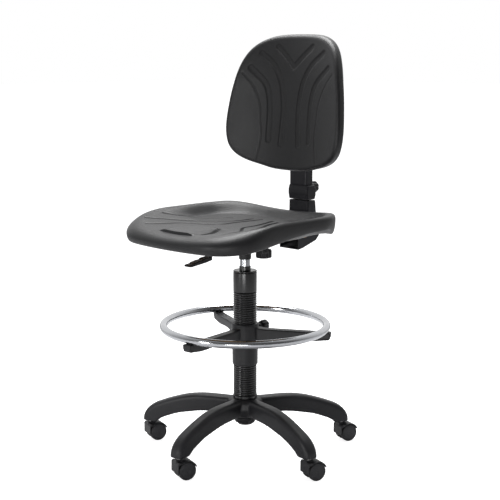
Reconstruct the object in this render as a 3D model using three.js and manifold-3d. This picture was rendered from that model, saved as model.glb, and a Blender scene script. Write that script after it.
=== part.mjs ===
// Drafting chair: five-arm swivel base on twin-wheel casters, gas lift in a sleeved column, sliding foot
// ring, and a moulded seat and backrest. Millimetres, +Z up, the sitter faces -Y.
import * as THREE from "three";
import { mergeVertices } from "three/addons/utils/BufferGeometryUtils.js";
import Module from "manifold-3d";

const wasm = await Module();
wasm.setup();

// ---- driving dimensions -------------------------------------------------------------------------------
const fit = 0.3; // gap between pieces that touch

// base and casters
const legCount = 5;
const legAngle0 = 8.16; // first leg, in degrees from the sitter's front towards the right of the part
const casterCircle = 291.5; // radius on which the caster stems stand
const legEnd = 18.5; // how far a leg runs on beyond its caster stem
const legWidth = 40;
const legWall = 5;
const legEndZ = 60; // underside of a leg at its caster
const hubTopZ = 157;
const hubR = 42;
const hubFloorZ = 96; // ledge that carries the column
const wheelR = 25;
const wheelWidth = 14.4;
const hoodWeb = 14; // middle wall between the two wheels
const hoodR = 29; // outer radius of the hood over the wheels
const hoodWall = 2.8;
const hoodTopZ = 57;
const casterTrail = 17; // stem axis to wheel axle
const trailAngle = 73; // direction in which every caster trails, degrees from +X
const stemR = 5;
const stemLength = 36; // length of the stem inside the leg
const axleR = 3;

// column and gas lift
const tubeR = 25;
const tubeWall = 1.5;
const tubeTopZ = 512;
const sleeveR = 32;
const sleeveWall = 5;
const sleeveTopZ = 516.5;
const neckTopZ = 533; // top of the guide bush
const rodR = 5;
const gasR = 14; // gas cylinder
const gasFootZ = 140; // lower end of the cylinder with the seat right down
const liftTravel = 230;
const pistonR = 11.6;
const valveR = 4;
const valveBore = 20; // depth of the valve pin's bore in the top of the cylinder
const valveSunk = 14; // how much of the pin stands in that bore
const valveProud = 9;
const socketFootZ = 552;
const socketR = 17;

// mechanism under the seat
const plateZ = 614; // underside of the seat plate
const plateT = 3;
const plateX = 92;
const plateFrontY = -100;
const plateRearY = 86;
const traySheet = 2.5;
const trayFloorZ = 578;
const earFootZ = 566; // underside of the two ears that hold the tilt pin
const earFrontY = 28;
const trayFrontX = 50;
const trayRearX = 35;
const trayFrontY = -90;
const trayRearY = 56;
const leverPinR = 3;
const leverPinY = -45;
const leverPinZ = 600;
const leverX = -40;
const leverRodR = 4;
const paddleStartY = -96;
const paddleEndY = -181;
const paddleWidth = 23;
const tiltPinR = 4.5;
const tiltPinY = 44;
const tiltPinZ = 578;
const barWidth = 50;
const barT = 8;
const barZ = 592; // underside of the flat bar
const barFrontY = 52;
const barRearY = 234; // rear face of the upright stretch
const barBendR = 12;
const barTopZ = 925;
const bracketWall = 3.6;
const bracketFrontY = 36;
const bracketRearY = 94;
const depthKnobY = 74;
const depthKnobR = 23;
const depthKnobZ = 546;
const depthKnobH = 28;
const depthStudR = 5;

// covers and back carriage
const elbowX = 38;
const elbowFrontY = 177;
const elbowRearY = 266;
const elbowWall = 3;
const elbowFootZ = 560;
const elbowTopZ = 602.7;
const coverX = 37.5;
const coverTopZ = 697;
const collarTopZ = 741;
const collarX = 37.5;
const sleeveX = 32.5;
const sleeveFrontY = 212.6;
const sleeveRearY = 243;
const sleeveHeadZ = 930;
const backKnobZ = 730;
const backKnobR = 17;
const backKnobEndY = 288;
const backStudR = 4;

// seat pad
const seatX = 236;
const seatFrontY = -268; // front edge at its ends
const seatBow = 32; // how far the middle of the front edge stands ahead of its ends
const seatRearY = 178;
const seatFrontR = 90;
const seatRearR = 108;
const seatSkirtFrontZ = 612; // lower edge of the skirt: front, sides, rear corners
const seatSkirtSideZ = 647;
const seatSkirtRearZ = 624;
const seatFrontZ = 655; // crest of the rim: front, sides, then the drop behind
const seatSideZ = 684;
const seatRearDrop = 11;
const seatDishZ = 646;
const boardX = 140;
const boardFrontY = -215;
const boardRearY = 125;
const boardT = 10;

// back pad
const backFaceY = 190; // front face on the centre line
const backWing = 55; // how far the wings come forward
const backHalfWidth = 218;
const backLean = 0.078; // recline of the pad, as a slope
const backCurl = 14; // how far the top edge rolls back
const backFootZ = 784;
const backTopZ = 1167.5;
const backRimT = 34;
const backCoreT = 40;
const pocketX = 64;
const pocketTopZ = 964;
const pocketY = 208;
const backBoardT = 4;

// foot ring
const ringR = 227.5;
const ringTubeR = 11;
const ringZ = 365;
const linerWall = 1.1;
const ringHubWall = 2.8;
const ringHubFootZ = 255;
const ringHubTopZ = 372;
const ringArms = 3;
const ringArmAngle0 = 5;
const ringArmWidth = 28;
const ringKnobAngle = 185;
const ringKnobZ = 350;
const ringKnobR = 15;
const ringKnobReach = 92;

// ---- materials ----------------------------------------------------------------------------------------
function finish(color, roughness, metalness) {
  return new THREE.MeshStandardMaterial({ color, roughness, metalness });
}
const nylon = finish(0x1b1b1d, 0.55, 0);
const blackPlastic = finish(0x17171a, 0.45, 0);
const foamSkin = finish(0x222225, 0.5, 0);
const chrome = finish(0xd8dadd, 0.1, 1);
const steel = finish(0x9a9da0, 0.35, 1);
const blackSteel = finish(0x141416, 0.5, 0.6);
const bronze = finish(0x8a6a3a, 0.5, 0.6);
const wood = finish(0x9a7a52, 0.7, 0);

// ---- helpers ------------------------------------------------------------------------------------------
const rad = THREE.MathUtils.degToRad;

function toSolid(geometry) {
  const plain = geometry.index ? geometry.toNonIndexed() : geometry.clone();
  plain.deleteAttribute("normal");
  plain.deleteAttribute("uv");
  const merged = mergeVertices(plain, 1e-3);
  const vertProperties = new Float32Array(merged.attributes.position.array);
  const triVerts = new Uint32Array(merged.index.array);
  return new wasm.Manifold(new wasm.Mesh({ numProp: 3, vertProperties, triVerts }));
}

function toGeometry(solid) {
  const mesh = solid.getMesh();
  const geometry = new THREE.BufferGeometry();
  geometry.setAttribute("position", new THREE.BufferAttribute(new Float32Array(mesh.vertProperties), 3));
  geometry.setIndex(new THREE.BufferAttribute(new Uint32Array(mesh.triVerts), 1));
  const flat = geometry.toNonIndexed();
  flat.computeVertexNormals();
  return flat;
}

function join(first, ...rest) {
  let solid = toSolid(first);
  for (const piece of rest) solid = solid.add(toSolid(piece));
  return toGeometry(solid);
}

function cut(body, ...tools) {
  let solid = toSolid(body);
  for (const tool of tools) solid = solid.subtract(toSolid(tool));
  return toGeometry(solid);
}

function box(x0, x1, y0, y1, z0, z1) {
  const shape = new THREE.BoxGeometry(x1 - x0, y1 - y0, z1 - z0);
  return shape.translate((x0 + x1) / 2, (y0 + y1) / 2, (z0 + z1) / 2);
}

// Closed profile of [radius, height] points turned about +Z.
function turn(profile, segments = 24) {
  let area = 0;
  profile.forEach(([r0, z0], i) => {
    const [r1, z1] = profile[(i + 1) % profile.length];
    area += r0 * z1 - r1 * z0;
  });
  const points = (area > 0 ? profile : [...profile].reverse()).map(([r, z]) => new THREE.Vector2(r, z));
  if (points[0].x > 0 || points.at(-1).x > 0) points.push(points[0].clone());
  return new THREE.LatheGeometry(points, segments).rotateX(Math.PI / 2);
}

function rod(radius, z0, z1, segments = 20) {
  return turn([[0, z0], [radius, z0], [radius, z1], [0, z1]], segments);
}

function ring(inner, outer, z0, z1, segments = 24) {
  return turn([[inner, z0], [outer, z0], [outer, z1], [inner, z1]], segments);
}

function outline(points) {
  return new THREE.Shape(points.map(([u, v]) => new THREE.Vector2(u, v)));
}

// Flat outline in plan, raised from z0 to z1.
function raised(shape, z0, z1, bevel = 0) {
  const depth = z1 - z0 - 2 * bevel;
  const options = { depth, bevelEnabled: bevel > 0, bevelSize: bevel, bevelThickness: bevel, bevelOffset: -bevel };
  return new THREE.ExtrudeGeometry(shape, { ...options, bevelSegments: 1, curveSegments: 6 }).translate(0, 0, z0 + bevel);
}

// Side view (u along Y, v along Z) carried across X between x0 and x1.
function across(shape, x0, x1, bevel = 0) {
  const axes = new THREE.Matrix4().makeBasis(
    new THREE.Vector3(0, 1, 0),
    new THREE.Vector3(0, 0, 1),
    new THREE.Vector3(1, 0, 0),
  );
  return raised(shape, x0, x1, bevel).applyMatrix4(axes);
}

// Side view (u outwards, v up) carried across a spoke that points along the given direction.
function spoke(shape, width, direction, bevel = 0) {
  const out = direction.clone().normalize();
  const up = new THREE.Vector3(0, 0, 1);
  const side = new THREE.Vector3().crossVectors(out, up);
  return raised(shape, -width / 2, width / 2, bevel).applyMatrix4(new THREE.Matrix4().makeBasis(out, up, side));
}

// Turned piece laid so that its axis points along a direction from a start point.
function aimed(geometry, start, direction) {
  const turnTo = new THREE.Quaternion().setFromUnitVectors(new THREE.Vector3(0, 0, 1), direction.clone().normalize());
  return geometry.applyQuaternion(turnTo).translate(start.x, start.y, start.z);
}

// Plan direction at an angle measured from the sitter's front (-Y) towards +X.
function heading(degrees) {
  return new THREE.Vector3(Math.sin(rad(degrees)), -Math.cos(rad(degrees)), 0);
}

function smooth(low, high, value) {
  return THREE.MathUtils.smoothstep(value, low, high);
}

// Closed skin through a stack of loops with equal point counts, closed by a point at each end.
function skin(loops, firstPoint, lastPoint) {
  const count = loops[0].length;
  const corners = [firstPoint, ...loops.flat(), lastPoint];
  const faces = [];
  const at = (loop, i) => 1 + loop * count + (i % count);
  for (let i = 0; i < count; i++) {
    faces.push(0, at(0, i + 1), at(0, i));
    for (let loop = 0; loop < loops.length - 1; loop++) {
      faces.push(at(loop, i), at(loop, i + 1), at(loop + 1, i + 1));
      faces.push(at(loop, i), at(loop + 1, i + 1), at(loop + 1, i));
    }
    faces.push(corners.length - 1, at(loops.length - 1, i), at(loops.length - 1, i + 1));
  }
  const geometry = new THREE.BufferGeometry();
  const values = corners.flatMap((corner) => corner.toArray());
  geometry.setAttribute("position", new THREE.Float32BufferAttribute(values, 3));
  geometry.setIndex(faces);
  return geometry;
}

const chair = new THREE.Group();

function add(name, geometry, material) {
  const plain = geometry.index ? geometry.toNonIndexed() : geometry;
  plain.computeVertexNormals();
  const mesh = new THREE.Mesh(plain, material);
  mesh.name = name;
  chair.add(mesh);
  return mesh;
}

// ---- star base ----------------------------------------------------------------------------------------
function legShape(inset) {
  // the radii between hub and tip are shares of the leg's length
  const legTip = casterCircle + legEnd;
  const arch = [[0.4226, 155], [0.5645, 148], [0.6935, 136], [0.8065, 124], [0.8968, 112], [0.9613, 96]];
  const top = [[20, 155], ...arch.map(([share, z]) => [share * legTip, z])];
  const foot = [[legTip - 42, legEndZ], [legTip - 50, 70], [0.645 * legTip, 94], [0.4226 * legTip, 107], [20, 110]];
  if (inset) {
    const roof = top.slice(1, 5).map(([r, z]) => [r, z - inset]);
    return outline([[60, 155 - inset], ...roof, [legTip - 54, 112], [legTip - 54, 40], [60, 40]]);
  }
  return outline([...top, [legTip, 76], [legTip, legEndZ], ...foot]);
}

function starBase() {
  const hub = turn([
    [tubeR + fit, hubFloorZ], [tubeR + fit, hubTopZ], [hubR, hubTopZ], [hubR, 110], [33, 100], [19, 80],
    [14, 80], [14, hubFloorZ],
  ]);
  const legs = [];
  const hollows = [rod(tubeR + fit, hubFloorZ, hubTopZ + 5, 24)];
  for (let i = 0; i < legCount; i++) {
    const out = heading(legAngle0 + (360 / legCount) * i);
    legs.push(spoke(legShape(0), legWidth, out, 3));
    hollows.push(spoke(legShape(legWall), legWidth - 2 * legWall, out));
    const socket = rod(stemR + fit, legEndZ - 1, legEndZ + stemLength + fit, 16);
    hollows.push(socket.translate(out.x * casterCircle, out.y * casterCircle, 0));
  }
  return cut(join(hub, ...legs), ...hollows);
}

// ---- casters ------------------------------------------------------------------------------------------
// Built with the stem on the Z axis and the wheels trailing towards +X, then turned and moved into place.
function casterHood() {
  const web = spoke(outline(hoodWebPoints()), hoodWeb, new THREE.Vector3(1, 0, 0));
  const shell = spoke(hoodShellShape(), 2 * (hoodWeb / 2 + wheelWidth) + 3, new THREE.Vector3(1, 0, 0), 1);
  const stemHole = rod(stemR + fit, 42 - fit, 70, 16);
  const axleHole = aimed(rod(axleR + fit, -30, 30, 12), new THREE.Vector3(casterTrail, 0, wheelR), sideways());
  return cut(join(web, shell), stemHole, axleHole);
}

function sideways() {
  return new THREE.Vector3(0, 1, 0);
}

function hoodWebPoints() {
  const points = [[-hoodR + casterTrail + 1, 30], [-hoodR + casterTrail + 1, hoodTopZ], [9.5, hoodTopZ]];
  for (let a = 70; a >= -90; a -= 20) {
    points.push([casterTrail + 22 * Math.cos(rad(a)), wheelR + 22 * Math.sin(rad(a))]);
  }
  return points.reverse();
}

function hoodShellShape() {
  const outer = [];
  const inner = [];
  for (let a = 20; a <= 120; a += 12.5) {
    outer.push([casterTrail + hoodR * Math.cos(rad(a)), wheelR + hoodR * Math.sin(rad(a))]);
    const r = hoodR - hoodWall;
    inner.push([casterTrail + r * Math.cos(rad(a)), wheelR + r * Math.sin(rad(a))]);
  }
  const front = casterTrail - hoodR;
  outer.push([front + 4, 52], [front, 47], [front, 20]);
  inner.push([front + hoodWall, 43], [front + hoodWall, 20]);
  return outline([...outer, ...inner.reverse()]);
}

function casterWheel(side) {
  const inner = hoodWeb / 2 + 0.5;
  const outer = inner + wheelWidth;
  const boreEnd = outer - 4;
  const profile = [
    [axleR + fit, inner], [22, inner], [wheelR, inner + 2.5], [wheelR, outer - 2.5], [21.5, outer],
    [0, outer], [0, boreEnd], [axleR + fit, boreEnd],
  ];
  const start = new THREE.Vector3(casterTrail, 0, wheelR);
  return aimed(turn(profile, 20), start, sideways().multiplyScalar(side));
}

function casterParts(index) {
  const out = heading(legAngle0 + (360 / legCount) * index);
  const place = (geometry) =>
    geometry.rotateZ(rad(trailAngle)).translate(out.x * casterCircle, out.y * casterCircle, 0);
  const n = index + 1;
  const stem = turn([
    [0, 42], [stemR, 42], [stemR, hoodTopZ + fit], [stemR + 3, hoodTopZ + fit], [stemR + 3, legEndZ - fit],
    [stemR, legEndZ - fit], [stemR, legEndZ + stemLength], [0, legEndZ + stemLength],
  ], 16);
  const reach = hoodWeb / 2 + wheelWidth - 4;
  const axle = aimed(rod(axleR, -reach, reach, 12), new THREE.Vector3(casterTrail, 0, wheelR), sideways());
  add(`caster_stem_${n}`, place(stem), steel);
  add(`caster_hood_${n}`, place(casterHood()), blackPlastic);
  add(`caster_axle_${n}`, place(axle), steel);
  add(`wheel_left_${n}`, place(casterWheel(1)), blackPlastic);
  add(`wheel_right_${n}`, place(casterWheel(-1)), blackPlastic);
}

// ---- column and gas lift ------------------------------------------------------------------------------
function columnTube() {
  const foot = hubFloorZ + fit;
  const bore = tubeR - tubeWall;
  return turn([
    [rodR + fit, foot], [tubeR, foot], [tubeR, tubeTopZ], [bore, tubeTopZ], [bore, foot + 3], [rodR + fit, foot + 3],
  ]);
}

function guideBush() {
  const bore = gasR + fit;
  const body = tubeR - tubeWall - fit;
  return turn([
    [bore, 420], [body, 420], [body, tubeTopZ + fit], [tubeR, tubeTopZ + fit], [tubeR, sleeveTopZ - 1],
    [bore + 1.7, sleeveTopZ - 1], [bore + 1.7, neckTopZ], [bore, neckTopZ],
  ]);
}

function ribbedSleeve() {
  const bore = sleeveR - sleeveWall;
  const foot = hubTopZ + 1;
  return turn([
    [bore, foot], [sleeveR + 2, foot], [sleeveR + 2, foot + 10], [sleeveR, foot + 13], [sleeveR, sleeveTopZ],
    [bore, sleeveTopZ],
  ]);
}

function sleeveCap() {
  const bore = gasR + fit + 1.7 + fit;
  const foot = sleeveTopZ + fit;
  return turn([
    [bore, foot], [sleeveR, foot], [sleeveR + 1, foot + 1], [sleeveR + 1, foot + 3], [sleeveR - 1, foot + 4.5],
    [bore, foot + 4.5],
  ]);
}

function pistonRod() {
  const bearingTop = hubFloorZ + 10 + fit;
  const top = gasFootZ + 10 + liftTravel + 17;
  return turn([
    [0, 86], [rodR, 86], [rodR, bearingTop], [9, bearingTop], [9, bearingTop + 4], [rodR, bearingTop + 4],
    [rodR, top - 13], [pistonR, top - 13], [pistonR, top], [0, top],
  ], 24);
}

const gasTopZ = plateZ - 17;

function gasCylinder() {
  const gland = gasFootZ + 10;
  const chamber = 560;
  return turn([
    [rodR + fit, gasFootZ], [gasR, gasFootZ], [gasR, gasTopZ], [valveR + fit, gasTopZ], [valveR + fit, gasTopZ - valveBore],
    [0, gasTopZ - valveBore], [0, chamber], [pistonR + 0.4, chamber], [pistonR + 0.4, gland], [rodR + fit, gland],
  ], 28);
}

function taperSocket() {
  const bore = gasR + fit;
  const floor = trayFloorZ + traySheet + fit;
  return turn([
    [bore, socketFootZ], [socketR - 1, socketFootZ], [socketR, socketFootZ + 2], [socketR, floor], [26, floor],
    [26, floor + 3], [socketR + 2, floor + 3], [socketR + 1, gasTopZ], [bore, gasTopZ],
  ]);
}

// ---- mechanism ----------------------------------------------------------------------------------------
function trayShape(inset, rearY) {
  const front = trayFrontX - inset;
  const rear = trayRearX - inset;
  const waist = 15 - inset / 2;
  return outline([
    [-front, trayFrontY + inset], [front, trayFrontY + inset], [front, waist], [rear, waist + 20], [rear, rearY],
    [-rear, rearY], [-rear, waist + 20], [-front, waist],
  ]);
}

function mechanismHousing() {
  const shell = raised(trayShape(0, trayRearY), earFootZ, plateZ - fit);
  const under = box(-trayFrontX - 5, trayFrontX + 5, trayFrontY - 5, earFrontY, earFootZ - 5, trayFloorZ);
  const inside = raised(trayShape(traySheet, trayRearY + 10), trayFloorZ + traySheet, plateZ + 5);
  const leverGate = box(leverX - 7, leverX + 7, trayFrontY - 5, -68, trayFloorZ - 5, 592);
  const wallX = trayRearX - traySheet;
  const armGate = box(-wallX, wallX, earFrontY, trayRearY + 5, earFootZ - 5, trayFloorZ + traySheet + 1);
  return cut(
    shell, inside, under, leverGate, armGate, rod(socketR + fit, trayFloorZ - 5, trayFloorZ + 5),
    aimed(rod(tiltPinR + fit, -60, 60, 16), new THREE.Vector3(0, tiltPinY, tiltPinZ), new THREE.Vector3(1, 0, 0)),
    aimed(rod(leverPinR + fit, -60, 60, 16), new THREE.Vector3(0, leverPinY, leverPinZ), new THREE.Vector3(1, 0, 0)),
  );
}

function roundedPlan(halfX, y0, y1, radius) {
  const shape = new THREE.Shape();
  shape.moveTo(-halfX + radius, y0);
  shape.lineTo(halfX - radius, y0);
  shape.absarc(halfX - radius, y0 + radius, radius, rad(-90), 0);
  shape.lineTo(halfX, y1 - radius);
  shape.absarc(halfX - radius, y1 - radius, radius, 0, rad(90));
  shape.lineTo(-halfX + radius, y1);
  shape.absarc(-halfX + radius, y1 - radius, radius, rad(90), rad(180));
  shape.lineTo(-halfX, y0 + radius);
  shape.absarc(-halfX + radius, y0 + radius, radius, rad(180), rad(270));
  return shape;
}

function crossPin(radius, halfLength, headR, y, z) {
  const head = halfLength + 2;
  const profile = [
    [0, -head], [headR, -head], [headR, -halfLength], [radius, -halfLength], [radius, halfLength],
    [headR, halfLength], [headR, head], [0, head],
  ];
  return aimed(turn(profile, 16), new THREE.Vector3(0, y, z), new THREE.Vector3(1, 0, 0));
}

const tabFootZ = gasTopZ + 9 + fit; // underside of the lever's tab, just over the valve pin

function leverRod() {
  const path = new THREE.CatmullRomCurve3([
    new THREE.Vector3(-4, leverPinY - 2, leverPinZ),
    new THREE.Vector3(-22, leverPinY - 14, leverPinZ - 5),
    new THREE.Vector3(leverX, trayFrontY + 14, 581),
    new THREE.Vector3(leverX, trayFrontY - 6, 566),
    new THREE.Vector3(leverX, paddleStartY - 14, 561.5),
    new THREE.Vector3(leverX, paddleStartY - 30, 559.5),
  ]);
  const section = new THREE.Shape().absarc(0, 0, leverRodR, 0, 2 * Math.PI);
  const bar = new THREE.ExtrudeGeometry(section, { steps: 12, extrudePath: path, curveSegments: 4 });
  const hub = aimed(rod(7, -9, 9, 20), new THREE.Vector3(0, leverPinY, leverPinZ), new THREE.Vector3(1, 0, 0));
  const tab = across(outline([
    [leverPinY, leverPinZ - 2], [-8, tabFootZ], [7, tabFootZ], [7, tabFootZ + 3], [-10, tabFootZ + 3],
    [leverPinY, leverPinZ + 6],
  ]), -5, 5);
  const bore = aimed(
    rod(leverPinR + fit, -20, 20, 16), new THREE.Vector3(0, leverPinY, leverPinZ), new THREE.Vector3(1, 0, 0),
  );
  return cut(join(hub, tab, bar), bore);
}

function leverPaddle() {
  const drop = (y) => 562.3 + (y - paddleStartY) * 0.14;
  const start = paddleStartY;
  const end = paddleEndY;
  const shape = outline([
    [end, drop(end) - 2.5], [end + 8, drop(end) - 4], [start - 20, drop(start - 20) - 6.5], [start, drop(start) - 5.5],
    [start, drop(start) + 5.5], [start - 22, drop(start - 22) + 6.5], [start - 30, drop(start - 30) + 6.5],
    [start - 33, drop(start - 33) + 4], [start - 46, drop(start - 46) + 5], [end + 22, drop(end + 22) + 4],
    [end + 17, drop(end + 17) + 2], [end + 4, drop(end + 4) + 2.5], [end, drop(end) + 0.5],
  ].reverse());
  const blade = across(shape, leverX - paddleWidth / 2, leverX + paddleWidth / 2, 1.5);
  const slot = box(
    leverX - leverRodR - fit, leverX + leverRodR + fit, paddleStartY - 31, paddleStartY + 5,
    559.5 - leverRodR - 1, 564.5 + leverRodR,
  );
  return cut(blade, slot);
}

function tiltBracket() {
  const inner = barWidth / 2 + 0.4;
  const outer = inner + bracketWall;
  const lowZ = barZ - fit - bracketWall;
  const highZ = barZ + barT + fit + bracketWall;
  const sleeve = box(-outer, outer, bracketFrontY, bracketRearY, lowZ, highZ);
  const channel = box(-inner, inner, bracketFrontY - 5, bracketRearY + 5, barZ - fit, barZ + barT + fit);
  const lug = outline([
    [bracketFrontY, lowZ + 1], [bracketFrontY, tiltPinZ - 7], [tiltPinY + 8, tiltPinZ - 7], [tiltPinY + 14, lowZ + 1],
  ]);
  const boss = rod(9, depthKnobZ + depthKnobH + 4, lowZ + 1, 20).translate(0, depthKnobY, 0);
  const studHole = rod(depthStudR + fit, depthKnobZ, barZ, 16).translate(0, depthKnobY, 0);
  const pinHole = aimed(
    rod(tiltPinR + fit, -60, 60, 16), new THREE.Vector3(0, tiltPinY, tiltPinZ), new THREE.Vector3(1, 0, 0),
  );
  return cut(join(sleeve, across(lug, inner, outer), across(lug, -outer, -inner), boss), channel, studHole, pinHole);
}

function depthKnob() {
  const top = depthKnobZ + depthKnobH;
  const grip = turn([
    [0, depthKnobZ], [depthKnobR - 3, depthKnobZ], [depthKnobR, depthKnobZ + 3], [depthKnobR, top - 3],
    [depthKnobR - 2, top], [0, top],
  ]);
  return cut(grip, rod(depthStudR + fit, depthKnobZ + 14, top + 5, 16)).translate(0, depthKnobY, 0);
}

// Flat bar bent through a right angle: level under the seat, then upright behind it.
function backBar() {
  const face = barRearY - barT;
  const centreY = face - barBendR;
  const centreZ = barZ + barT + barBendR;
  const shape = new THREE.Shape();
  shape.moveTo(barFrontY, barZ);
  shape.lineTo(centreY, barZ);
  shape.absarc(centreY, centreZ, barBendR + barT, rad(-90), 0);
  shape.lineTo(barRearY, barTopZ);
  shape.lineTo(face, barTopZ);
  shape.absarc(centreY, centreZ, barBendR, 0, rad(-90), true);
  shape.lineTo(barFrontY, barZ + barT);
  return across(shape, -barWidth / 2, barWidth / 2);
}

function barSlot(z0, z1) {
  const half = barWidth / 2 + fit;
  return box(-half, half, barRearY - barT - fit, barRearY + fit, z0, z1);
}

// ---- covers and back carriage -------------------------------------------------------------------------
function elbowShape(inset) {
  const foot = elbowFootZ + inset;
  const rear = elbowRearY - inset;
  const front = elbowFrontY - (inset ? 10 : 0);
  const top = elbowTopZ + (inset ? 10 : 0);
  return outline([
    [front, foot], [elbowFrontY + 20, foot + 3], [elbowRearY - 13, elbowFootZ + 20 + inset], [rear, elbowFootZ + 33],
    [rear, top], [front, top],
  ]);
}

function elbowCover() {
  const shell = across(elbowShape(0), -elbowX, elbowX, 2);
  return cut(shell, across(elbowShape(elbowWall), -elbowX + elbowWall, elbowX - elbowWall));
}

function uprightCover() {
  const foot = elbowTopZ + fit;
  const shape = outline([[214, foot], [elbowRearY - 6, foot], [249.5, coverTopZ], [216, coverTopZ]]);
  const half = barWidth / 2 + fit;
  const bendTop = barZ + barT + barBendR + fit;
  const bend = box(-half, half, barRearY - barT - barBendR - fit, barRearY, foot - 5, bendTop);
  return cut(across(shape, -coverX, coverX, 3), barSlot(foot - 5, coverTopZ + 5), bend);
}

function backCollar() {
  const foot = coverTopZ + 2.5;
  const shape = outline([
    [215, foot], [247, foot], [251.5, foot + 12], [251.5, collarTopZ - 12], [246, collarTopZ], [216, collarTopZ],
    [212, collarTopZ - 12], [211.5, foot + 18],
  ]);
  const studHole = aimed(
    rod(backStudR + fit, 0, 40, 16), new THREE.Vector3(0, barRearY - 2, backKnobZ), new THREE.Vector3(0, 1, 0),
  );
  return cut(across(shape, -collarX, collarX, 3), barSlot(foot - 5, collarTopZ + 5), studHole);
}

function backSleeve() {
  const foot = collarTopZ + fit;
  const tube = raised(roundedPlan(sleeveX, sleeveFrontY, sleeveRearY, 5), foot, sleeveHeadZ);
  return cut(tube, barSlot(foot - 5, sleeveHeadZ + 5));
}

function backKnob() {
  const neck = 252 + fit;
  const stud = barRearY + 2 * fit;
  const profile = [
    [0, stud], [backStudR, stud], [backStudR, neck], [10, neck], [10, neck + 6], [backKnobR - 1, neck + 6],
    [backKnobR, neck + 8], [backKnobR, backKnobEndY - 3], [backKnobR - 3, backKnobEndY], [0, backKnobEndY],
  ];
  return aimed(turn(profile, 28), new THREE.Vector3(0, 0, backKnobZ), new THREE.Vector3(0, 1, 0));
}

// ---- seat pad -----------------------------------------------------------------------------------------
const seatMidY = (seatFrontY + seatRearY) / 2;

// Points round the seat's plan, anticlockwise seen from above.
function seatPlan() {
  const points = [];
  const corners = [
    [seatX - seatRearR, seatRearY - seatRearR, seatRearR, 0], [-seatX + seatRearR, seatRearY - seatRearR, seatRearR, 90],
    [-seatX + seatFrontR, seatFrontY + seatFrontR, seatFrontR, 180],
    [seatX - seatFrontR, seatFrontY + seatFrontR, seatFrontR, 270],
  ];
  corners.forEach(([x, y, r, start], i) => {
    for (let a = 0; a <= 90; a += 15) {
      points.push(new THREE.Vector2(x + r * Math.cos(rad(start + a)), y + r * Math.sin(rad(start + a))));
    }
    const [nx, ny, nr, nStart] = corners[(i + 1) % 4];
    const from = points.at(-1);
    const to = new THREE.Vector2(nx + nr * Math.cos(rad(nStart)), ny + nr * Math.sin(rad(nStart)));
    for (const t of [0.25, 0.5, 0.75]) points.push(from.clone().lerp(to, t));
  });
  for (const p of points) {
    const ahead = THREE.MathUtils.clamp((p.y + 100) / (seatFrontY + 100), 0, 1);
    p.y -= seatBow * (1 - (p.x / seatX) ** 2) * ahead;
  }
  return points;
}

function seatSkirt(x, y) {
  const rise = smooth(seatFrontY - seatBow, 50, y) * (seatSkirtSideZ - seatSkirtFrontZ);
  const fall = smooth(95, 165, y) * (seatSkirtSideZ - seatSkirtRearZ) * smooth(60, 160, Math.abs(x));
  return seatSkirtFrontZ + rise - fall;
}

function seatCrest(x, y) {
  const across = (x / seatX) ** 2;
  const back = smooth(seatFrontY - seatBow, seatFrontY + 190, y);
  const climb = (back + (1 - back) * 0.55 * across) * (seatSideZ - seatFrontZ);
  return seatFrontZ + climb - smooth(60, seatRearY, y) * seatRearDrop * (1 - across);
}

function seatPad() {
  const plan = seatPlan();
  const underside = plateZ + plateT + 1;
  const loop = (place) =>
    plan.map((p) => {
      const [share, height] = place(seatSkirt(p.x, p.y), seatCrest(p.x, p.y), p.y);
      return new THREE.Vector3(p.x * share, seatMidY + (p.y - seatMidY) * share, height);
    });
  const rimShare = (y) => 0.89 - 0.07 * (1 - smooth(seatFrontY, seatFrontY + 150, y));
  const lowRoll = (angle) => (skirt, crest) => {
    const middle = (skirt + crest) / 2;
    return [0.955 + 0.045 * Math.cos(rad(angle)), middle - (middle - skirt) * Math.sin(rad(angle))];
  };
  const highRoll = (angle) => (skirt, crest, y) => {
    const middle = (skirt + crest) / 2;
    const share = rimShare(y) + (1 - rimShare(y)) * Math.cos(rad(angle));
    return [share, middle + (crest - middle) * Math.sin(rad(angle))];
  };
  const dish = (share) => (skirt, crest) => [share, seatDishZ + (crest - seatDishZ) * (share / 0.86) ** 2.6];
  const loops = [
    loop(() => [0.4, underside]), loop(() => [0.64, underside]), loop((skirt) => [0.9, skirt + 2]),
    loop(lowRoll(90)), loop(lowRoll(50)), loop(lowRoll(15)), loop(highRoll(15)), loop(highRoll(45)),
    loop(highRoll(70)), loop(highRoll(90)), loop(dish(0.68)), loop(dish(0.45)), loop(dish(0.2)),
  ];
  const low = new THREE.Vector3(0, seatMidY, underside);
  const high = new THREE.Vector3(0, seatMidY, seatDishZ);
  const pocket = raised(
    roundedPlan(boardX + fit, boardFrontY - fit, boardRearY + fit, 40 + fit),
    underside - 5, plateZ + plateT + boardT + 2 * fit,
  );
  return cut(skin(loops, low, high), pocket);
}

// ---- back pad -----------------------------------------------------------------------------------------
// Right half of the back's outline as [half width, height] points, foot to top.
function backPlan() {
  const w = backHalfWidth;
  const z = (share) => backFootZ + share * (backTopZ - backFootZ);
  const half = [
    [0.22 * w, z(0.004)], [0.46 * w, z(0.028)], [0.7 * w, z(0.062)], [0.86 * w, z(0.108)], [0.96 * w, z(0.18)],
    [w, z(0.31)], [0.97 * w, z(0.5)], [0.915 * w, z(0.66)], [0.835 * w, z(0.8)], [0.715 * w, z(0.9)],
    [0.53 * w, z(0.963)], [0.26 * w, z(0.993)],
  ];
  const right = half.map(([x, h]) => new THREE.Vector3(x, 0, h));
  const left = half.map(([x, h]) => new THREE.Vector3(-x, 0, h)).reverse();
  const knots = [new THREE.Vector3(0, 0, backFootZ), ...right, new THREE.Vector3(0, 0, backTopZ), ...left];
  return new THREE.CatmullRomCurve3(knots, true, "centripetal").getPoints(48).slice(0, 48).reverse();
}

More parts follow.
